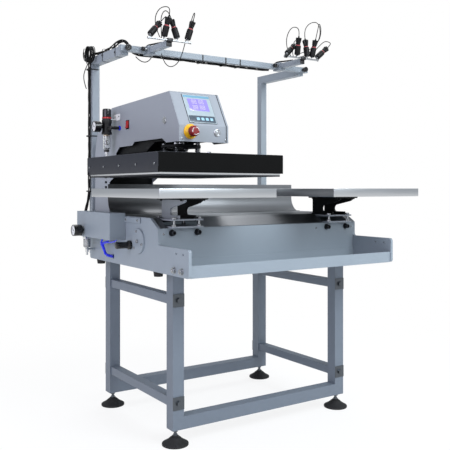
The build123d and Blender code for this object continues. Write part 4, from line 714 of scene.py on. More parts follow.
bm = bmesh.new()
startPlace = (headLeft + button["startX"], button["front"], button["z"])
sidePlace = (headLeft, button["sideY"], button["sideZ"])
for place, direction in ((startPlace, frontward), (sidePlace, leftward)):
    addLathe(bm, [(10.05, -14), (12.8, -14), (12.8, 0.02), (14, 0.03), (14, 1.6), (13.2, 2.8),
        (11.4, 3), (10.6, 2.3), (10.05, 2.2)], place, direction, 48)
    addLathe(bm, [(12.9, -8), (16.5, -8), (16.5, -4), (12.9, -4)], place, direction, 6)
rocker = {"y": 77, "z": 1265}
left = headLeft
for y0, y1, z0, z1 in ((-15, -11.4, -19, 19), (11.4, 15, -19, 19), (-15, 15, -19, -16.2),
        (-15, 15, 16.2, 19)):
    addBox(bm, (left - 2, rocker["y"] + y0, rocker["z"] + z0), (left + 10, rocker["y"] + y1,
        rocker["z"] + z1), 0.5, 1)
for x in button["screwX"]:
    addLathe(bm, solid((4, 0), (3.9, 1), (3.2, 2), (1.8, 2.4), (1.6, 1.4)),
        (headLeft + x, button["front"], button["screwZ"]), frontward, 24, 2)
addPiece("headHardware", bm, ["chrome", "glossAbs", "zinc"], "head", "head_fasteners")
keys = (("startButton", startPlace, frontward, "start_key", "start_button"),
    ("sideButton", sidePlace, leftward, "side_key", "side_button"))
for name, place, direction, body, node in keys:
    bm = bmesh.new()
    addLathe(bm, [(0, -10), (10, -10), (10, 3.4), (9.5, 4), (7.2, 4), (6.8, 3.7), (5, 3.9),
        (0, 4)], place, direction, 48)
    addPiece(name, bm, ["machined"], body, node)
bm = bmesh.new()
tip = radians(7)
rockerLine = [(-5.2, -15), (-4.2, -8), (-3.2, 0), (-4.2, 8), (-5.2, 15), (-3, 15.4), (6, 12),
    (6, -12), (-3, -15.4)]
turned = [(left + 1 + (a - 1) * cos(tip) + b * sin(tip), rocker["z"] - (a - 1) * sin(tip) + b
    * cos(tip)) for a, b in rockerLine]
addPrism(bm, turned, rocker["y"] - 11, rocker["y"] + 11, "y")
addPiece("powerRocker", bm, ["redPlastic"], "power_switch", "power_rocker", 0.6)
print("controls made")

# Filter regulator with its bowl and gauge
filterUnit = {"x": headLeft - 40, "y": 199, "bottom": 1229, "top": 1293, "ring": 1304,
    "bowlBottom": 1166, "gaugeZ": 1262, "portZ": 1256, "elbow": 48}
fx = filterUnit["x"]
fy = filterUnit["y"]
portZ = filterUnit["portZ"]
elbowY = fy - filterUnit["elbow"]
bm = bmesh.new()
addStack(bm, (fx, fy, filterUnit["bottom"]), upward, (
    ([(16, 0), (22.5, 1), (23.4, 3), (23.4, 9), (22, 12), (21, 16), (21, 46), (23, 50), (23, 60),
      (21.6, 64), (0, 64)], 0, 8, 0),
    ([(15.8, 0.5), (20.4, 0.5), (21.4, 2), (21.4, 9), (15.8, 9)], 0, 48, 0),
    (solid((19.2, 0), (19.5, 0.8), (19.5, 4), (19.2, 4.6)), 64, 48, 0),
    (solid((19.6, 0), (20, 1), (20, 5), (19.4, 6.2), (8, 6.2), (8, 24)), 68.7, 48, 1)))
# ports and the elbow that goes into the head
addLathe(bm, solid((9, 0), (9, 22), (8, 24)), (fx, fy - 20, portZ), frontward, 32)
addLathe(bm, [(0, -7), (5, -6), (8, -3), (8.6, 0), (8, 3), (5, 6), (0, 7)], (fx, elbowY, portZ),
    upward, 32)
addLathe(bm, [(7, 0), (7, headLeft - fx - 6)], (fx, elbowY, portZ), rightward, 32)
addLathe(bm, [(7.1, 0), (9.5, 0), (9.5, 5), (9, 6), (7.1, 6)], (headLeft - 6, elbowY, portZ),
    rightward, 32, 2)
addLathe(bm, solid((9, 0), (9, 5), (7, 6)), (fx, fy + 20, portZ), rearward, 32)
# bent bracket on the head's side
top = filterUnit["top"]
addBox(bm, (fx + 12, fy - 20, top), (headLeft - 0.1, fy + 8, top + 2.4), 0.4, 3)
addBox(bm, (headLeft - 2.6, fy - 50, top - 4), (headLeft - 0.1, fy + 8, top + 24), 0.6, 3)
for dy in (-42, -2):
    addLathe(bm, [(0, 0), (4, 0), (3.8, 1.2), (2.6, 2.2), (0, 2.4)],
        (headLeft - 2.6, fy + dy, top + 13), leftward, 24, 4)
addPiece("airRegulator", bm, ["abs", "redPlastic", "blueTube", "whiteAbs", "zinc"], "head",
    "air_regulator")
bm = bmesh.new()
addStack(bm, (fx, fy, filterUnit["bowlBottom"]), upward, (
    ([(0, 0), (10, 0.3), (13.6, 2), (15.2, 5.5), (15.5, 9), (15.5, 68), (13.2, 68), (13.2, 9),
      (12.4, 5.6), (9.5, 3.4), (0, 3)], 0, 48, 0),
    (rod(7.5, 22), 40, 32, 1),
    (solid((10.5, 0), (11, 1.5), (4, 4), (4, 20)), 20, 32, 2),
    (solid((7, 28), (8.4, 25), (8.4, 19), (6.6, 17), (6.6, 9), (5, 7.5), (4.2, 7), (4.2, 0)),
     -28, 32, 1),
    ([(8.5, 18), (11.6, 18.6), (11.6, 26), (8.5, 26.6)], -28, 32, 2),
    ([(10, 0), (13, 0), (13, 9), (10, 9)], 58, 40, 4)))
addPiece("filterBowl", bm, ["bowl", "whiteAbs", "abs", "machined", "amberRing"], "head",
    "regulator_bowl")
bm = bmesh.new()
addLathe(bm, [(8.06, 0), (17.6, 0), (18.5, 1), (18.5, 26), (18, 31), (16.4, 34.6), (13, 35.7),
    (0, 35.7), (0, 21), (8.06, 21)], (fx, fy, filterUnit["ring"] + 0.3), upward, 96, 0,
    grooves(0.045, 16, 3, 2, 33))
addPiece("regulatorKnob", bm, ["glossAbs"], "pressure_knob", "regulator_knob")


# A pale dial with tick marks and a needle, looking along a direction
def addDial(bm, place, direction, radius, mats):
    face, mark, hub = mats
    addLathe(bm, rod(radius, 0.5), place, direction, 48, face)
    base = Matrix.Translation(Vector(place)) @ turnTo(direction)
    for step in range(21):
        angle = radians(-135 + 13.5 * step)
        long = 0.2 if step % 5 == 0 else 0.11
        wide = 0.028 if step % 5 == 0 else 0.018
        local = bmesh.new()
        addBox(local, (-radius * wide, radius * (0.9 - long), 0.5), (radius * wide, radius * 0.9,
            0.7), 0, mark)
        addPart(bm, local, base @ Matrix.Rotation(angle, 4, "Z"))
    local = bmesh.new()
    addPrism(local, [(-radius * 0.05, -radius * 0.2), (radius * 0.05, -radius * 0.2),
        (radius * 0.015, radius * 0.78), (-radius * 0.015, radius * 0.78)], 0.9, 1.3, "z", mark)
    addPart(bm, local, base @ Matrix.Rotation(radians(48), 4, "Z"))
    addLathe(bm, [(0, 0.5), (radius * 0.11, 0.5), (radius * 0.11, 1.8), (0, 2)], place, direction,
        24, hub)


bm = bmesh.new()
gaugeX = fx - 22
addLathe(bm, solid((6, 0), (6, 8), (21, 8.1), (23.5, 11), (23.5, 35), (23, 37), (21.6, 38),
    (21, 37.4), (21, 35)), (gaugeX, fy, filterUnit["gaugeZ"]), leftward, 56)
addDial(bm, (gaugeX - 35, fy, filterUnit["gaugeZ"]), leftward, 20.6, (1, 2, 2))
addPiece("regulatorGauge", bm, ["glossAbs", "whiteAbs", "abs"], "head", "regulator_gauge")
print("filter regulator made")

# Fittings on the body's left side
sideKit = {"gaugeY": 359, "gaugeZ": 816, "boxLeft": leftFace - 72, "knobY": 25, "knobZ": 770,
    "inletX": leftFace - 38, "inletY": 399, "boxBottom": 788}
bm = bmesh.new()
addLathe(bm, solid((7, 0), (7, 9), (22, 9.1), (24.6, 11), (25, 13), (25, 45), (24.4, 47.2),
    (23, 48), (22.4, 47.4), (22.4, 45)), (sideKit["boxLeft"], sideKit["gaugeY"],
    sideKit["gaugeZ"]), leftward, 64)
addDial(bm, (sideKit["boxLeft"] - 45, sideKit["gaugeY"], sideKit["gaugeZ"]), leftward, 22,
    (1, 2, 2))
addPiece("boxGauge", bm, ["glossAbs", "whiteAbs", "abs"], "bench", "box_gauge")

bm = bmesh.new()
kx = leftFace - 1.5
addLathe(bm, [(6.06, 0), (17, 0), (18.5, 1), (18.5, 10), (17.4, 12), (14.6, 13), (14, 15),
    (13.4, 24), (13.6, 40), (14, 58), (13.6, 62.5), (12, 65.2), (9, 66), (0, 66), (0, 41),
    (6.06, 41)], (kx, sideKit["knobY"], sideKit["knobZ"]), leftward, 64)
addPiece("sideKnob", bm, ["glossAbs"], "side_grip", "side_knob")

bm = bmesh.new()
ix = sideKit["inletX"]
iy = sideKit["inletY"]
boxLow = sideKit["boxBottom"]
addBox(bm, (ix - 15, iy - 15, boxLow - 16), (ix + 15, iy + 15, boxLow), 2.5, 0, 3)
rib = [(15.9, 0), (16.6, 0.6), (16.6, 2.2), (15.9, 2.8)]
addStack(bm, (ix, iy, boxLow), downward, (
    ([(0, 0), (14, 0), (15.8, 1.5), (16, 4), (16, 30), (15, 35), (12, 37.6), (0, 38)], 15, 48, 1),
    *((rib, along, 48, 0) for along in (21, 27, 33, 39)),
    ([(0, 0), (9, 0), (9, 8), (7.4, 9), (7.4, 12)], 50, 6, 0),
    ([(0, 0), (7.4, 0), (7.4, 14), (6, 15), (5, 16), (5, 27), (3.6, 27.4), (3.6, 20)], 60, 32, 0)))
addLathe(bm, [(6, 0), (6, leftFace - ix - 0.1)], (ix, iy, boxLow - 62), rightward, 32)
addPiece("inletFilter", bm, ["chrome", "castMetal"], "bench", "inlet_filter")

fixings = {"standY": (-393, -338), "standZ": 702, "bossProud": 7, "bossY": -50, "bossZ": 790,
    "bossRing": 40, "stripY": (-46, 60), "stripZ": 872, "panelX": (-488, 278, 488), "frontY": -209,
    "panelZ": 825, "socketX": 57, "socketZ": 829, "baseX": 56, "baseY": (-224, -103),
    "baseHigh": 882, "baseLow": 854}
bm = bmesh.new()
standZ = fixings["standZ"]
for y in fixings["standY"]:
    for side, x in ((-1, leftFace), (1, rightFace)):
        addHexBolt(bm, (x, y, standZ), (side, 0, 0), 19, 9, 0, 13)
        addLathe(bm, solid((5, 0), (5, 4), (4, 5)), (x + side * 9, y, standZ), (side, 0, 0), 24)
bossX = leftFace - fixings["bossProud"]
bossY = fixings["bossY"]
bossZ = fixings["bossZ"]
ring = fixings["bossRing"]
addHexBolt(bm, (bossX, bossY, bossZ), leftward, 13, 6)
for step in range(3):
    angle = pi * (0.42 + 2 * step / 3)
    addLathe(bm, solid((5, 0), (5, 2.6), (4, 4), (2, 4), (1.8, 2.4)),
        (bossX, bossY + ring * cos(angle), bossZ + ring * sin(angle)), leftward, 24)
for y in fixings["stripY"]:
    addLathe(bm, solid((5, 0), (5, 1.4), (4, 3.2), (1.8, 4), (1.6, 2.2)),
        (leftFace - 5, y, fixings["stripZ"]), leftward, 24)
for x in fixings["panelX"]:
    addLathe(bm, solid((4.5, 0), (4.3, 1.2), (3, 2.6), (1.7, 3), (1.5, 1.6)),
        (bodyX + x, fixings["frontY"], fixings["panelZ"]), frontward, 24)
addLathe(bm, rod(6, 40), (leftFace, sideKit["knobY"], sideKit["knobZ"]), leftward, 24)
# dark socket screws below each bracket, and the silver bolts through its two base plates
for x in (headX, rightX):
    for offset in (-fixings["socketX"], fixings["socketX"]):
        addLathe(bm, solid((13, 0), (13, 1.6), (9.5, 1.7), (9.5, 19), (8.8, 20), (5.6, 20),
            (5.6, 12)), (x + offset, fixings["frontY"], fixings["socketZ"]), frontward, 32, 1)
    for dx in (-fixings["baseX"], fixings["baseX"]):
        for y in fixings["baseY"]:
            addHexBolt(bm, (x + dx, y, fixings["baseHigh"]), upward, 16, 6, 0, 10)
            addLathe(bm, rod(5, 27), (x + dx, y, fixings["baseLow"] + 1), upward, 24)
            addHexBolt(bm, (x + dx, y, fixings["baseLow"]), upward, 16, 7)
addPiece("bodyBolts", bm, ["zinc", "darkBolt"], "bench", "body_fasteners")
print("side fittings made")

# Blue air tubes and their wrapped end
bundle = {"gather": (leftFace - 24, 238, 732), "tube": 6, "wrapRadius": 5.6, "wrapWire": 2.6,
    "wrapTurns": 9, "wrapSteps": 15}
gx, gy, gz = bundle["gather"]
tubeRoutes = []
for y, lean, dx, dy in ((262, 3, 2.6, 2.2), (234, -6, -2.6, 2.2), (172, 4, -2.6, -2.2),
        (100, -2, 2.6, -2.2)):
    tubeX = leftFace - 27 + lean
    tubeRoutes.append([(tubeX, y, 787.5), (tubeX, y + (2 if y > 200 else 14), 776),
        (gx - 8 + dx, gy + 12 + dy * 2, gz + 34), (gx + dx, gy + dy, gz + 4),
        (gx + 3 + dx * 0.6, gy - 5 + dy * 0.6, gz - 14), (gx + 12 + dx * 0.4, gy - 22, gz - 22)])
addLeads("airTubes", tubeRoutes, bundle["tube"], "blueTube", "bench", "air_tubes")
wrapLine = [Vector((gx + 1, gy - 2, gz - 6)), Vector((gx + 5, gy - 9, gz - 17)),
    Vector((gx + 14, gy - 24, gz - 22)), Vector((gx + 24, gy - 38, gz - 23))]
wrapRoute = []
wrapSteps = bundle["wrapSteps"] * bundle["wrapTurns"]
for step in range(wrapSteps + 1):
    t = step / wrapSteps * (len(wrapLine) - 1)
    index = min(int(t), len(wrapLine) - 2)
    here = wrapLine[index].lerp(wrapLine[index + 1], t - index)
    course = (wrapLine[index + 1] - wrapLine[index]).normalized()
    across = course.cross(Vector(upward)).normalized()
    up = across.cross(course)
    angle = 2 * pi * step / bundle["wrapSteps"]
    wrapRoute.append(tuple(here + (across * cos(angle) + up * sin(angle)) * bundle["wrapRadius"]))
addLeads("tubeWrap", [wrapRoute], bundle["wrapWire"], "blueTube", "bench", None)
print("air tubes made")


# Laser pointers on their rods, and the leads that loop from them
gantry = {"railY": 136, "railZ": 1594, "armZ": 1596, "armSize": 25, "rodY": -51, "rodZ": 1608,
    "rodLength": 204, "ballZ": 1622, "post": 35, "postSpread": 968, "armTop": 1606,
    "armBottom": 1568, "armFront": 148.5, "bodyBack": 454}
railY, railZ = gantry["railY"], gantry["railZ"]
rodY, rodZ, rodLength = [gantry[key] for key in ("rodY", "rodZ", "rodLength")]
armTop, armBottom, armZ = [gantry[key] for key in ("armTop", "armBottom", "armZ")]
post, postSpread, bodyBack = [gantry[key] for key in ("post", "postSpread", "bodyBack")]
pointer = {"top": 42, "collarLength": 7, "tailLength": 28, "boot": 8, "lead": 3.6,
    "leadStraight": 24}
# lean: place along the rod, lean to the right and to the front in degrees
# routes: X from the carrier's middle, Y and Z from the rod
pointerSets = {
    "Left": {
        "carrier": -366.5, "shift": 0,
        "lean": [(-90, 42, -14), (-26, 8, 14), (34, -14, -10), (84, 16, 6)],
        "routes": [
            [(6, 37, 109), (14, 55, 81), (8, 61, 43), (4, 61, 19)],
            [(-16, -5, 137), (-34, 29, 133), (-40, 57, 99), (-26, 67, 53), (-10, 65, 21)],
            [(-4, 39, 133), (-8, 63, 107), (-4, 67, 61), (-3, 65, 19)],
            [(122, 8, 134), (130, 40, 116), (128, 66, 72), (122, 84, 20), (112, 96, -34),
             (90, 100, -76), (54, 100, -92), (28, 104, -70), (20, 110, -34)]]},
    "Right": {
        "carrier": 342.5, "shift": -8,
        "lean": [(-87, 50, -25), (-27, -6, 16), (33, -2, -8), (62, 8, 10), (94, 50, 4)],
        "routes": [
            [(-4, 53, 97), (-2, 73, 71), (-4, 73, 36), (-3, 67, 20)],
            [(-46, -11, 139), (-50, 25, 143), (-50, 57, 113), (-40, 75, 73), (-24, 75, 33),
             (-14, 67, 17)],
            [(34, 19, 155), (66, 19, 181), (104, 19, 187), (132, 29, 165), (142, 43, 123),
             (130, 61, 85), (102, 75, 49), (62, 79, 27), (26, 71, 19)],
            [(84, -11, 153), (100, -1, 179), (122, 11, 157), (126, 21, 117), (118, 43, 85),
             (92, 61, 61), (58, 71, 45), (26, 73, 35), (12, 69, 20)],
            [(176, 11, 99), (164, 35, 107), (150, 61, 83), (126, 77, 51), (88, 87, 27),
             (48, 89, 13), (18, 83, 9)]]}}
for side, given in pointerSets.items():
    hand = side.lower()
    body = "pointers_" + hand
    rodX = given["carrier"] + given["shift"]
    bm = bmesh.new()
    addLathe(bm, solid((3.4, 0), (4, 0.6), (4, rodLength - 0.6), (3.4, rodLength)),
        (rodX - rodLength / 2, rodY, rodZ), rightward, 32)
    leads = []
    for (offset, leanRight, leanFront), route in zip(given["lean"], given["routes"]):
        ball = Vector((rodX + offset, rodY, gantry["ballZ"]))
        addStack(bm, ball, upward, (
            (solid((2.5, -14), (2.5, -6.5)), 0, 20, 1),
            ([(0, -7), (3.5, -6.1), (6.1, -3.5), (7, 0), (6.1, 3.5), (3.5, 6.1), (0, 7)],
             0, 24, 1)))
        lean = Matrix.Rotation(radians(leanFront), 3, "X")
        course = lean @ Matrix.Rotation(radians(leanRight), 3, "Y") @ Vector(upward)
        top = pointer["top"]
        low = top + pointer["collarLength"]
        # barrel, lens, collar and its ring
        for profile, steps, mat in (
                ([(7.6, -1), (9, -2), (11.2, -1.4), (12.9, 0.6), (13.5, 3.6), (13.5, 38.4),
                  (13.1, 40.6), (12, 42), (10.4, 42)], 40, 2),
                ([(7.6, -1), (7.4, 5), (0, 6)], 40, 2),
                ([(10.5, top - 0.2), (10.5, top + 3), (9.9, top + 3.6), (0, top + 3.6)], 36, 3),
                ([(9.8, top + 3.6), (10.3, top + 4.2), (10.3, top + 6.6), (9.4, top + 7.2),
                  (0, top + 7.2)], 36, 2)):
            addLathe(bm, profile, ball, course, steps, mat)
        # lobed tail and the boot of its lead
        addLathe(bm, [(8.4, low - 0.4), (9.4, low + 0.6), (9.8, low + 3), (10.6, low + 12),
            (11.2, low + 22), (11, low + 26.6), (9.4, low + 28), (4.6, low + 27), (4, low + 30),
            (2.5, low + 36), (1.9, low + 36), (0, low + 35.6)], ball, course, 96, 2,
            lambda angle, along: (0.1 + 0.007 * (along - low)) * cos(angle * 6)
            if low + 0.7 < along < low + 28.1 else 0)
        tailEnd = ball + course * (low + pointer["tailLength"] + pointer["boot"])
        lead = [tuple(tailEnd - course * 3), tuple(tailEnd + course * pointer["leadStraight"])]
        lead += [(given["carrier"] + x, rodY + y, rodZ + z) for x, y, z in route]
        leads.append(lead)
    # stop collars at the rod's ends: plated on the left rod, a black clamp on the right one
    for end, wide, long, mat in ((-1, 5.6, 6, 0) if side == "Left" else (-1, 7.4, 13, 2),
            (1, 5.4, 5, 0)):
        endX = rodX + end * (rodLength / 2 - 1) - (long if end > 0 else 0)
        addLathe(bm, [(4.05, 0), (wide - 0.5, 0), (wide, 0.5), (wide, long - 0.5),
            (wide - 0.5, long), (4.05, long)], (endX, rodY, rodZ), rightward, 32, mat)
    addPiece("laserPointers" + side, bm, ["machined", "acrylic", "pointerAbs", "paleRed"], body,
        "lasers_" + hand)
    addLeads("laserLeads" + side, leads, pointer["lead"], "pvc", body, "laser_leads_" + hand)
print("laser pointers made")

# Sliding carriers and their clamp knobs
carrier = {"half": 18, "front": 103.5, "rear": 154.5, "opening": 12.8, "below": 18.5,
    "armFront": -44, "capFront": -47.4, "bundle": 7, "knobOut": 32}
for side, given in pointerSets.items():
    hand = side.lower()
    x = given["carrier"]
    bm = bmesh.new()
    half = gantry["armSize"] / 2
    # clamp body round the cross rail, open along it
    low = railZ - carrier["below"]
    roof = armZ + half + 4
    front, rear, opening = carrier["front"], carrier["rear"], carrier["opening"]
    near, far = railY - opening, railY + opening
    for y0, y1, z0, z1 in ((front, near, low, roof), (far, rear, low, roof),
            (near - 1, far + 1, low, railZ - opening), (near - 1, far + 1, railZ + opening, roof)):
        addBox(bm, (x - carrier["half"], y0, z0), (x + carrier["half"], y1, z1))
    # the arm and its end cap
    addBox(bm, (x - half, carrier["armFront"], armZ - half), (x + half, front + 0.1, armZ + half),
        2.2, 0, 3)
    addBox(bm, (x - half - 0.2, carrier["capFront"], armZ - half - 0.2),
        (x + half + 0.2, carrier["armFront"] + 0.2, armZ + half + 0.2), 1.4, 1, 3)
    # saddle that grips the rod, its screw on top
    addBox(bm, (x - 12, -59, rodZ - 7), (x + 12, -47.2, rodZ + 8), 1.2, 1)
    addBox(bm, (x - 12, -48, rodZ + 0.6), (x + 12, -30, rodZ + 8), 1.2, 1)
    addLathe(bm, solid((4, 0), (4, 3), (3.4, 3.6), (2.2, 3.6), (2.2, 1.6)), (x, -38, rodZ + 8),
        upward, 24, 2)
    addLathe(bm, [(0, 0), (2.8, 0), (2.8, 1.2), (0, 1.6)], (x + 12, -53, rodZ), rightward, 16, 2)
    for z in (railZ - 11, railZ + 12):
        addLathe(bm, [(0, 0), (4, 0), (3.6, 1.4), (2.2, 2.2), (0, 2.3)], (x + 11, front, z),
            frontward, 20, 2)
    addPiece("laserArm" + side, bm, ["powderGantry", "abs", "zinc"], "carrier_" + hand,
        "laser_arm_" + hand, 0.7)
    armRoof = armZ + half
    addLeads("armBundle" + side, [[(x + 2, 26, armRoof + 3.8), (x - 2, 70, armRoof + 6.5),
        (x + 1, railY - 26, armRoof + 10.5), (x, railY + 4, armRoof + 13),
        (x - 1, railY + 25, armRoof + 9), (x - 3, railY + 29, armRoof - 7),
        (x - 4, railY + 28, railZ - 4)]], carrier["bundle"], "pvc", "carrier_" + hand, None)
    bm = bmesh.new()
    knobY = railY - 25.5
    addLathe(bm, rod(3.5, 26), (x - 8, knobY, armZ), leftward, 24, 1)
    addLathe(bm, [(0, 0), (6, 0), (6, 1.4), (9.4, 1.6), (10, 2.6), (10, 12), (9.2, 13.6), (7, 14),
        (0, 13.6)], (x - carrier["knobOut"], knobY, armZ), leftward, 72, 0,
        grooves(0.04, 12, 2, 2, 13))
    addPiece("clampKnob" + side, bm, ["glossAbs", "zinc"], "clamp_" + hand, "clamp_knob_" + hand)
    # star grip on the rail's own clamp screw
    end = -1 if side == "Left" else 1
    bm = bmesh.new()
    knobX = bodyX + end * postSpread / 2
    addLathe(bm, [(0, 0), (7, 0), (7, 7.4), (11.4, 7.6), (13, 9.4), (13, 20.6), (11.8, 22.8),
        (8.4, 23), (7.6, 22.2), (0, 22)], (knobX, railY - 12.5, railZ), frontward, 84, 0,
        grooves(0.07, 7, 2, 8, 22.5))
    addPiece("railKnob" + side, bm, ["glossAbs"], "rail_knob_" + hand, "gantry_knob_" + hand)
print("carriers and knobs made")

# Bundled harness: behind the rail, over the left arm and down the left post
harness = {"strands": 6, "strand": 4.6, "ringRadius": 4.2, "twist": 0.022, "coil": 34,
    "coilWire": 3.6, "coilTurns": 4, "coilPitch": 6.8, "loose": 4, "tieThickness": 1.2}
postX = bodyX - postSpread / 2
postLeft = postX - post / 2
postY = bodyBack + post / 2
over = armTop + 8
downX = postLeft - 7
backY = railY + 28.5
behindZ = railZ - 12
line = [(302.5, backY, behindZ)]
for x in (260, 190, 110, 40, -30, -100, -170, -240, -310, -370):
    droop = 4 * sin(x / 55)
    line.append((bodyX + x, backY + droop / 2, behindZ - abs(droop)))
line += [(postX + 66, backY + 3, behindZ - 2), (postX + 38, backY + 8, behindZ + 14),
    (postX + 30, backY + 12, over + 10), (postX + 16, backY + 26, over + 27),
    (postX - 1, backY + 52, over + 20), (postX - 3, backY + 92, over + 6),
    (postX + 2, backY + 134, over + 5), (postX - 3, backY + 180, over + 1),
    (postX - 4, 392, over + 1), (downX, 434, over + 4), (downX, postY + 2, over - 22)]
for step in range(1, 13):
    wave = 2.5 * sin(step * 1.7)
    line.append((downX - 1.5 + wave / 2, postY + wave, over - 20 - 52 * step))
line += [(leftFace - 12, 472, 905), (leftFace - 30, 468, 846), (leftFace - 30, 432, 846)]


# points along a route's own smooth spline, in millimetres
def splinePoints(route, detail=8):
    reader = bpy.data.objects.new("reader", makeCurve("reader", [route], detail))
    bpy.context.collection.objects.link(reader)
    evaluated = reader.evaluated_get(bpy.context.evaluated_depsgraph_get())
    mesh = bpy.data.meshes.new_from_object(evaluated)
    found = [vert.co * 1000 for vert in mesh.vertices]
    bpy.data.objects.remove(reader)
    bpy.data.meshes.remove(mesh)
    return found


# strands laid round a line, turning slowly about it
def strandRoutes(points, count, ring, twist):
    routes = [[] for _ in range(count)]
    across = Vector((0.3, 0.2, 1)).normalized()
    travelled = 0.0
    for index, here in enumerate(points):
        after = points[min(index + 1, len(points) - 1)]
        before = points[max(index - 1, 0)]
        course = (after - before).normalized()
        across = (across - course * across.dot(course)).normalized()
        side = course.cross(across)
        travelled += (here - before).length
        for strand in range(count):
            angle = 2 * pi * strand / count + travelled * twist
            angle += 0.35 * sin(travelled / 47 + strand * 2.1)
            # the strands open up a little where they lie loose on the arm
            slack = max(0, 1 - abs(here.y - 290) / 130) if here.z > armTop else 0
            reach = ring * (1 + slack * 0.8 + 0.12 * sin(travelled / 83 + strand * 1.7))
            spot = here + across * (reach * cos(angle)) + side * (reach * sin(angle))
            routes[strand].append(spot)
    return routes


centreLine = splinePoints(line)
addLeads("harnessStrands", strandRoutes(centreLine, harness["strands"], harness["ringRadius"],
    harness["twist"]), harness["strand"], "pvc", "bench", "gantry_cables")
coilStart = downX - 2.9
hub = (coilStart, bodyBack - 28, armTop + 5)
coils = []
for lead, (shift, swell) in enumerate(((0, 1.2), (-2.4, -1.8), (-4.6, 0.6))):
    loops = []
    for step in range(harness["coilTurns"] * turnSteps + 1):
        angle = 2 * pi * (step / turnSteps + lead * 0.07)
        wide = harness["coil"] * 1.02 + swell + 2.2 * sin(step * 0.41 + lead * 1.9)
        along = shift - harness["coilPitch"] * step / turnSteps + 1.2 * sin(step * 0.63 + lead)
        loops.append((hub[0] + along, hub[1] + wide * cos(angle), hub[2] + wide * sin(angle)))
    coils.append(loops)
addLeads("slackCoil", coils, harness["coilWire"], "pvc", "bench", None)
coilEnd = coilStart - harness["coilPitch"] * harness["coilTurns"] - 3
hanging = [(coilEnd + 11.5, 434, hub[2] - 37.1), (coilEnd + 3, 444, armBottom - 18),
    (coilEnd - 4, 454, armBottom - 50), (coilEnd + 6, 468, armBottom - 82),
    (downX - 16, postY, armBottom - 108)]
sagging = [(postX + 62, backY + 2, behindZ - 10.8), (postX + 74, backY - 2, behindZ - 25),
    (postX + 100, backY - 4, behindZ - 34), (postX + 124, backY - 2, behindZ - 25),
    (postX + 136, backY, behindZ - 9.4)]
addLeads("looseLeads", [hanging, sagging], harness["loose"], "pvc", "bench", None)


# a flat tie with rounded corners round a bundle, with its ratchet head in front or behind
def addTie(bm, low, high, axis, mat=0, behind=False):
    a, b = [i for i in range(3) if i != axis]
    grow = harness["tieThickness"]
    loops = []
    for reach, corner in ((0, 5.0), (grow, 6.0)):
        ring = []
        for sideA, sideB, start in ((1, 1, 0), (-1, 1, 90), (-1, -1, 180), (1, -1, 270)):
            centreA = (high[a] + reach - corner) if sideA > 0 else (low[a] - reach + corner)
            centreB = (high[b] + reach - corner) if sideB > 0 else (low[b] - reach + corner)
            for step in range(5):
                angle = radians(start + 90 * step / 4)
                ring.append((centreA + corner * cos(angle), centreB + corner * sin(angle)))
        for along in (low[axis], high[axis]):
            made = []
            for placeA, placeB in ring:
                spot = [along] * 3
                spot[a], spot[b] = placeA, placeB
                made.append(bm.verts.new(spot))
            loops.append(made)
    inLow, inHigh, outLow, outHigh = loops
    for first, second in ((inHigh, inLow), (outLow, outHigh), (inLow, outLow), (outHigh, inHigh)):
        for index in range(len(first)):
            after = (index + 1) % len(first)
            face = bm.faces.new((first[index], first[after], second[after], second[index]))
            face.material_index = mat
    headLow, headHigh = [low[axis] - 0.8] * 3, [high[axis] + 0.8] * 3
    headLow[a] = high[a] - 0.2 if behind else low[a] - grow - 3.4
    headHigh[a] = high[a] + grow + 3.4 if behind else low[a] + 0.2
    middle = (low[b] + high[b]) / 2
    headLow[b], headHigh[b] = middle - 3.5, middle + 3.5
    addBox(bm, headLow, headHigh, 0.5, mat)


bm = bmesh.new()
armRight = postX + post / 2
addTie(bm, (coilEnd, bodyBack - 30.5, armBottom), (armRight, bodyBack - 25.5, armTop), 1)
for place in (15, -110, 96):
    addTie(bm, (bodyX + place, railY - 13.5, behindZ - 10.5), (bodyX + place + 5, backY + 8.5,
        railZ + 12.5), 0, behind=True)
for place, top in ((65, armTop), (200, over + 10)):
    addTie(bm, (postLeft, railY + place, armBottom), (armRight, railY + place + 5, top), 1)
for place in (1548, 1240, 985):
    addTie(bm, (downX - 9.5, bodyBack, place), (armRight, bodyBack + post, place + 5), 2)
addPiece("cableTies", bm, ["abs"], "bench", None)
print("harness made")

# End caps of the gantry's tubes
bm = bmesh.new()
half = post / 2
for side in (-1, 1):
    x = bodyX + side * postSpread / 2
    addBox(bm, (x - half, gantry["armFront"] - 1.8, armBottom),
        (x + half, gantry["armFront"] + 0.4, armTop), 1.2)
    railEnd = bodyX + side * (postSpread / 2 + half + 10)
    addBox(bm, (min(railEnd, railEnd + side * 1.8), railY - 12.5, railZ - 12.5),
        (max(railEnd, railEnd + side * 1.8), railY + 12.5, railZ + 12.5), 1.1)
addPiece("tubeCaps", bm, ["powderGantry"], "bench", None)

# Rubber feet with their adjusting nuts
feet = {"spread": 840, "front": -179, "rear": 409}
for side, x in (("left", bodyX - feet["spread"] / 2), ("right", bodyX + feet["spread"] / 2)):
    for place, y in (("front", feet["front"]), ("rear", feet["rear"])):
        bm = bmesh.new()
        addLathe(bm, solid((50.5, 0), (52, 0.8), (52.5, 2.4), (52.5, 6), (51.6, 8.2), (49, 9.6),
            (40, 14.6), (30, 21), (23, 27.2), (20.4, 29.8), (15.4, 30.4), (14.2, 31.6), (14, 35),
            (13, 36), (6.15, 36), (6.15, 28)), (x, y, 0), upward, 64)
        corner = place + "_" + side
        addPiece("foot" + place.title() + side.title(), bm, ["rubber"], "levelling_" + corner,
            "foot_" + corner)
print("feet made")


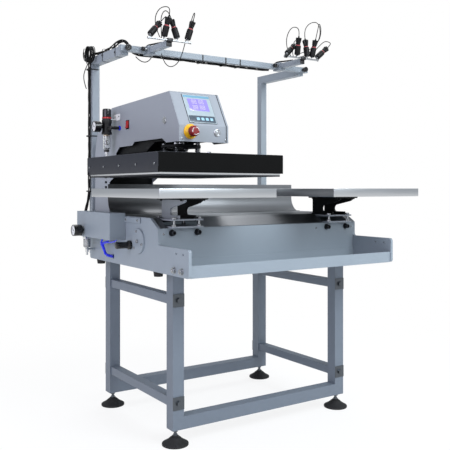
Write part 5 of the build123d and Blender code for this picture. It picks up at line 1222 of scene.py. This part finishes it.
# Camera, backdrop and light
viewpoint = {"place": (-1716.5, -2501, 1000), "yaw": 33.5, "focalPixels": 680, "horizon": 188.5,
    "frame": 450}
cameraData = bpy.data.cameras.new("camera")
cameraData.lens = 36 * viewpoint["focalPixels"] / viewpoint["frame"]
cameraData.sensor_width = 36
cameraData.shift_y = (viewpoint["horizon"] - viewpoint["frame"] / 2) / viewpoint["frame"]
cameraData.clip_end = 60
camera = bpy.data.objects.new("camera", cameraData)
camera.location = [value / 1000 for value in viewpoint["place"]]
camera.rotation_euler = (radians(90), 0, radians(-viewpoint["yaw"]))
bpy.context.collection.objects.link(camera)
bpy.context.scene.camera = camera
bpy.context.scene.view_settings.view_transform = "Standard"


# One where a ray is of any of the named kinds
def anyRay(tree, *kinds):
    rays = addNode(tree, "ShaderNodeLightPath").outputs
    found = rays["Is " + kinds[0] + " Ray"]
    for kind in kinds[1:]:
        found = addNode(tree, "ShaderNodeMath", {"operation": "MAXIMUM"},
            {0: found, 1: rays["Is " + kind + " Ray"]}).outputs[0]
    return found


studio = {"floorSize": 14, "floorColour": "#F4F5F6", "worldStrength": 0.62,
    "worldColour": "#E9EEF4", "fadeFrom": 0.7, "fadeTo": 2.2, "shadow": 0.84, "lampSize": 2.4}
floorMesh = bpy.data.meshes.new("studioFloor")
half = studio["floorSize"]
floorMesh.from_pydata([(-half, -half, 0), (half, -half, 0), (half, half, 0), (-half, half, 0)], [],
    [(0, 1, 2, 3)])
floor = bpy.data.objects.new("studioFloor", floorMesh)
bpy.context.collection.objects.link(floor)
paper = bpy.data.materials.new("paperSweep")
tree = emptyTree(paper)
paperOut = addNode(tree, "ShaderNodeOutputMaterial")
matt = addNode(tree, "ShaderNodeBsdfDiffuse", {"Color": linearColour(studio["floorColour"])})
glow = addNode(tree, "ShaderNodeEmission", {"Color": (1, 1, 1, 1), "Strength": 1.0})
# the floor keeps the contact shadow near the machine and fades to plain white further out
where = addNode(tree, "ShaderNodeTexCoord")
reach = addNode(tree, "ShaderNodeVectorMath", {"operation": "LENGTH"}, {0: where.outputs["Object"]})
fade = addNode(tree, "ShaderNodeMapRange", {"From Min": studio["fadeFrom"],
    "From Max": studio["fadeTo"], "To Min": studio["shadow"], "To Max": 1.0},
    {"Value": reach.outputs["Value"]})
contact = addNode(tree, "ShaderNodeMixShader", {}, {0: fade.outputs[0], 1: matt.outputs[0],
    2: glow.outputs[0]})
choose = addNode(tree, "ShaderNodeMixShader", {},
    {0: anyRay(tree, "Camera", "Glossy", "Transmission"), 1: matt.outputs[0],
    2: contact.outputs[0]})
tree.links.new(choose.outputs[0], paperOut.inputs[0])
floorMesh.materials.append(paper)

world = bpy.data.worlds.new("studioWorld")
bpy.context.scene.world = world
tree = emptyTree(world)
worldOut = addNode(tree, "ShaderNodeOutputWorld")
white = addNode(tree, "ShaderNodeBackground", {"Color": (1, 1, 1, 1), "Strength": 1.0})
soft = addNode(tree, "ShaderNodeBackground", {"Color": linearColour(studio["worldColour"]),
    "Strength": studio["worldStrength"]})
choose = addNode(tree, "ShaderNodeMixShader", {}, {0: anyRay(tree, "Camera", "Transmission"),
    1: soft.outputs[0], 2: white.outputs[0]})
tree.links.new(choose.outputs[0], worldOut.inputs[0])

# lamps: place in metres, height that it looks at, power, tint
lamps = {"keyLamp": ((0.8, -3.6, 3.4), 0.9, 190, "#F2FAFF"),
    "fillLamp": ((-3.8, -1.4, 2.2), 0.9, 70, "#F3ECFF"),
    "topLamp": ((0.6, 1.2, 4.0), 1.0, 60, "#FFFFFF")}
for name, (place, height, power, tint) in lamps.items():
    lampData = bpy.data.lights.new(name, "AREA")
    lampData.energy = power
    lampData.color = linearColour(tint)[:3]
    lampData.size = studio["lampSize"]
    lamp = bpy.data.objects.new(name, lampData)
    lamp.location = place
    aim = Vector((0, 0, height)) - Vector(place)
    lamp.rotation_euler = aim.to_track_quat("-Z", "Y").to_euler()
    bpy.context.collection.objects.link(lamp)
print("camera, backdrop and lamps set")
